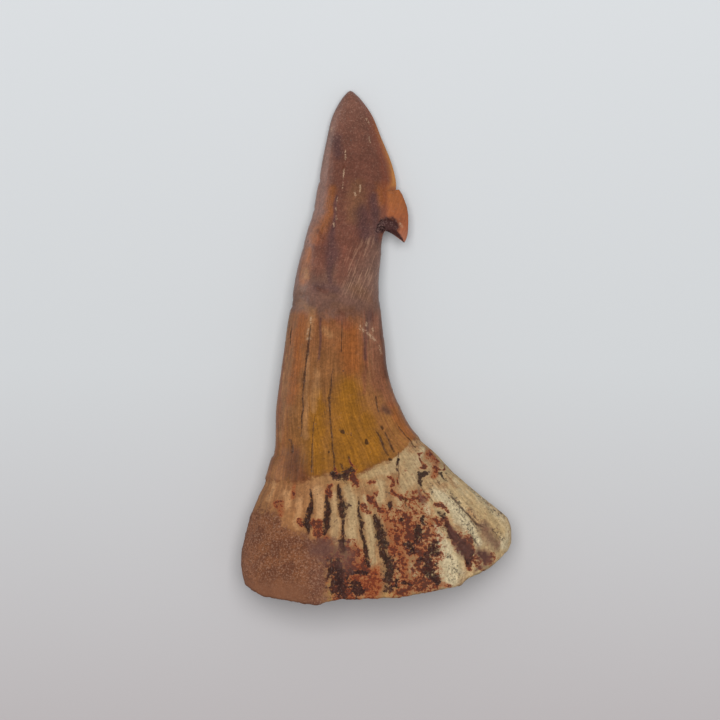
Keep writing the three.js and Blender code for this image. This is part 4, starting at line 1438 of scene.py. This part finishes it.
# %% [markdown]
# The sandstone is grains of sand in a red-brown cement: pale specks and dark ones over patches of violet and
# of orange brown. It could be a mesh of its own, but it lies flush with the bone, so it is a zone of the same
# sheet, roughened by the relief. Near the rim it is worn smooth.

# %% The sandstone
STONE_DARK = (108, 66, 46)
STONE_LIGHT = (130, 82, 54)
STONE_VIOLET = (114, 78, 66)
# Painted sheen on the stone's left edge.
STONE_SHEEN = (148, 100, 76)
STONE_WORN = (130, 86, 62)
GRAIN_DARK = (80, 50, 38)
GRAIN_PALE = (166, 128, 104)

stone = lay_over(eased(mottle, 0.42, 0.58), paint(*STONE_DARK), paint(*STONE_LIGHT))
stone = wash(stone, from_x(-9.5, -6.0), 0.50, STONE_VIOLET)
# Painted sheen: the stone is lightened towards its left edge, where the window lights it.
stone = wash(stone, from_x(-13.0, -16.5), 0.60, STONE_SHEEN)
worn_smooth = times(from_y(-26.2, -28.4), from_x(-7.0, -9.5))
stone = wash(stone, worn_smooth, 0.80, STONE_WORN)
gritty = minus(1.0, times(worn_smooth, 0.70))
stone = wash(stone, times(eased(fine_specks, 0.49, 0.38), gritty), 0.65, GRAIN_DARK)
pale_grains = eased(noise(in_mm, scale=4.4, detail=3, roughness=0.75), 0.50, 0.64)
stone = wash(stone, times(pale_grains, gritty), 0.58, GRAIN_PALE)
sandstone_mask = ragged("sandstone", scale=1.0, amount=5.0, softness=0.6)
colour = lay_over(sandstone_mask, colour, stone)
print("sandstone laid over the bone")

# %% [markdown]
# The last marks lie over everything: violet smudges, the dark sand packed under the barb with its loose
# grains, which also paints shade on the barb's downward faces, the deep pits, and the dish in the root's end.

# %% The last marks
SMUDGE_VIOLET = (100, 68, 60)
BARB_DARK = (58, 36, 38)
BARB_GRAIN = (124, 98, 92)
PIT_DARK = (58, 40, 30)
DISH_DARK = (88, 60, 44)
DISH_PALE = (150, 118, 84)

smudge = shaded(paint(*SMUDGE_VIOLET), eased(specks, 0.3, 0.7), 0.85, 1.15)
smudge_mask = ragged("smudge", scale=1.3, amount=3.4, softness=0.9)
colour = wash(colour, smudge_mask, 0.72, smudge)
loose_grains = times(from_x(1.4, 0.5), eased(fine_specks, 0.47, 0.57))
barb_grains = calc("MAXIMUM", eased(fine_specks, 0.56, 0.68), times(loose_grains, 0.8))
# Dark sand under the barb, also used as painted shade on its downward faces.
barb_sand_and_shade = lay_over(barb_grains, paint(*BARB_DARK), paint(*BARB_GRAIN))
under_barb = ragged("barb_sand", scale=2.2, amount=2.4, softness=0.40)
colour = wash(colour, under_barb, 0.92, barb_sand_and_shade)
deep_pits = ragged("pits", scale=2.4, amount=2.0, softness=0.4)
colour = wash(colour, deep_pits, 0.80, PIT_DARK)
in_dish = eased(mask_of("hollow"), 0.04, 0.16)
dish_paint = lay_over(eased(specks, 0.4, 0.65), paint(*DISH_DARK), paint(*DISH_PALE))
colour = wash(colour, in_dish, 0.75, dish_paint)
tree.links.new(colour, shader.inputs["Base Color"])
print("last marks laid over everything")

# %% [markdown]
# Enamel above the break is still polished, so it gets a thin coat. Bone is dull, and sand is duller. Fine
# streaks and grains are too small for the mesh, so a bump finishes them.

# %% Put the finish together
ENAMEL_ROUGHNESS = 0.42
BONE_ROUGHNESS = 0.70
SPECK_ROUGHNESS = 0.30
STONE_ROUGHNESS = 0.15
POLISH = 0.30
GRAIN_ON_ENAMEL = 0.30
GRAIN_ON_BONE = 1.1
STREAK_HEIGHT = 0.25
BUMP_DEPTH = 0.08 * MM

dull = calc("MAXIMUM", bone_mask, in_dish)
roughness = plus(eased(dull, 0, 1, ENAMEL_ROUGHNESS, BONE_ROUGHNESS), swung(specks, SPECK_ROUGHNESS))
roughness = plus(roughness, times(sandstone_mask, STONE_ROUGHNESS), clamp=True)
tree.links.new(roughness, shader.inputs["Roughness"])
shader.inputs["Specular IOR Level"].default_value = 0.20
polish = times(from_y(3.5, 6.5), minus(1.0, dull))
tree.links.new(times(polish, POLISH), shader.inputs["Coat Weight"])
shader.inputs["Coat Roughness"].default_value = 0.34

coarse_grain = times(fine_specks, eased(dull, 0, 1, GRAIN_ON_ENAMEL, GRAIN_ON_BONE))
height = plus(coarse_grain, times(fine_streaks, STREAK_HEIGHT))
bump = put("ShaderNodeBump", {"Height": height, "Strength": 0.50, "Distance": BUMP_DEPTH}).outputs[0]
tree.links.new(bump, shader.inputs["Normal"])
tooth_mesh.materials.append(finish)
print("finish has", len(tree.nodes), "nodes")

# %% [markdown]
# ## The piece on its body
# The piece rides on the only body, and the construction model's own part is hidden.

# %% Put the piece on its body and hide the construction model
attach(tooth_piece, "root")
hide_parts(NODE)
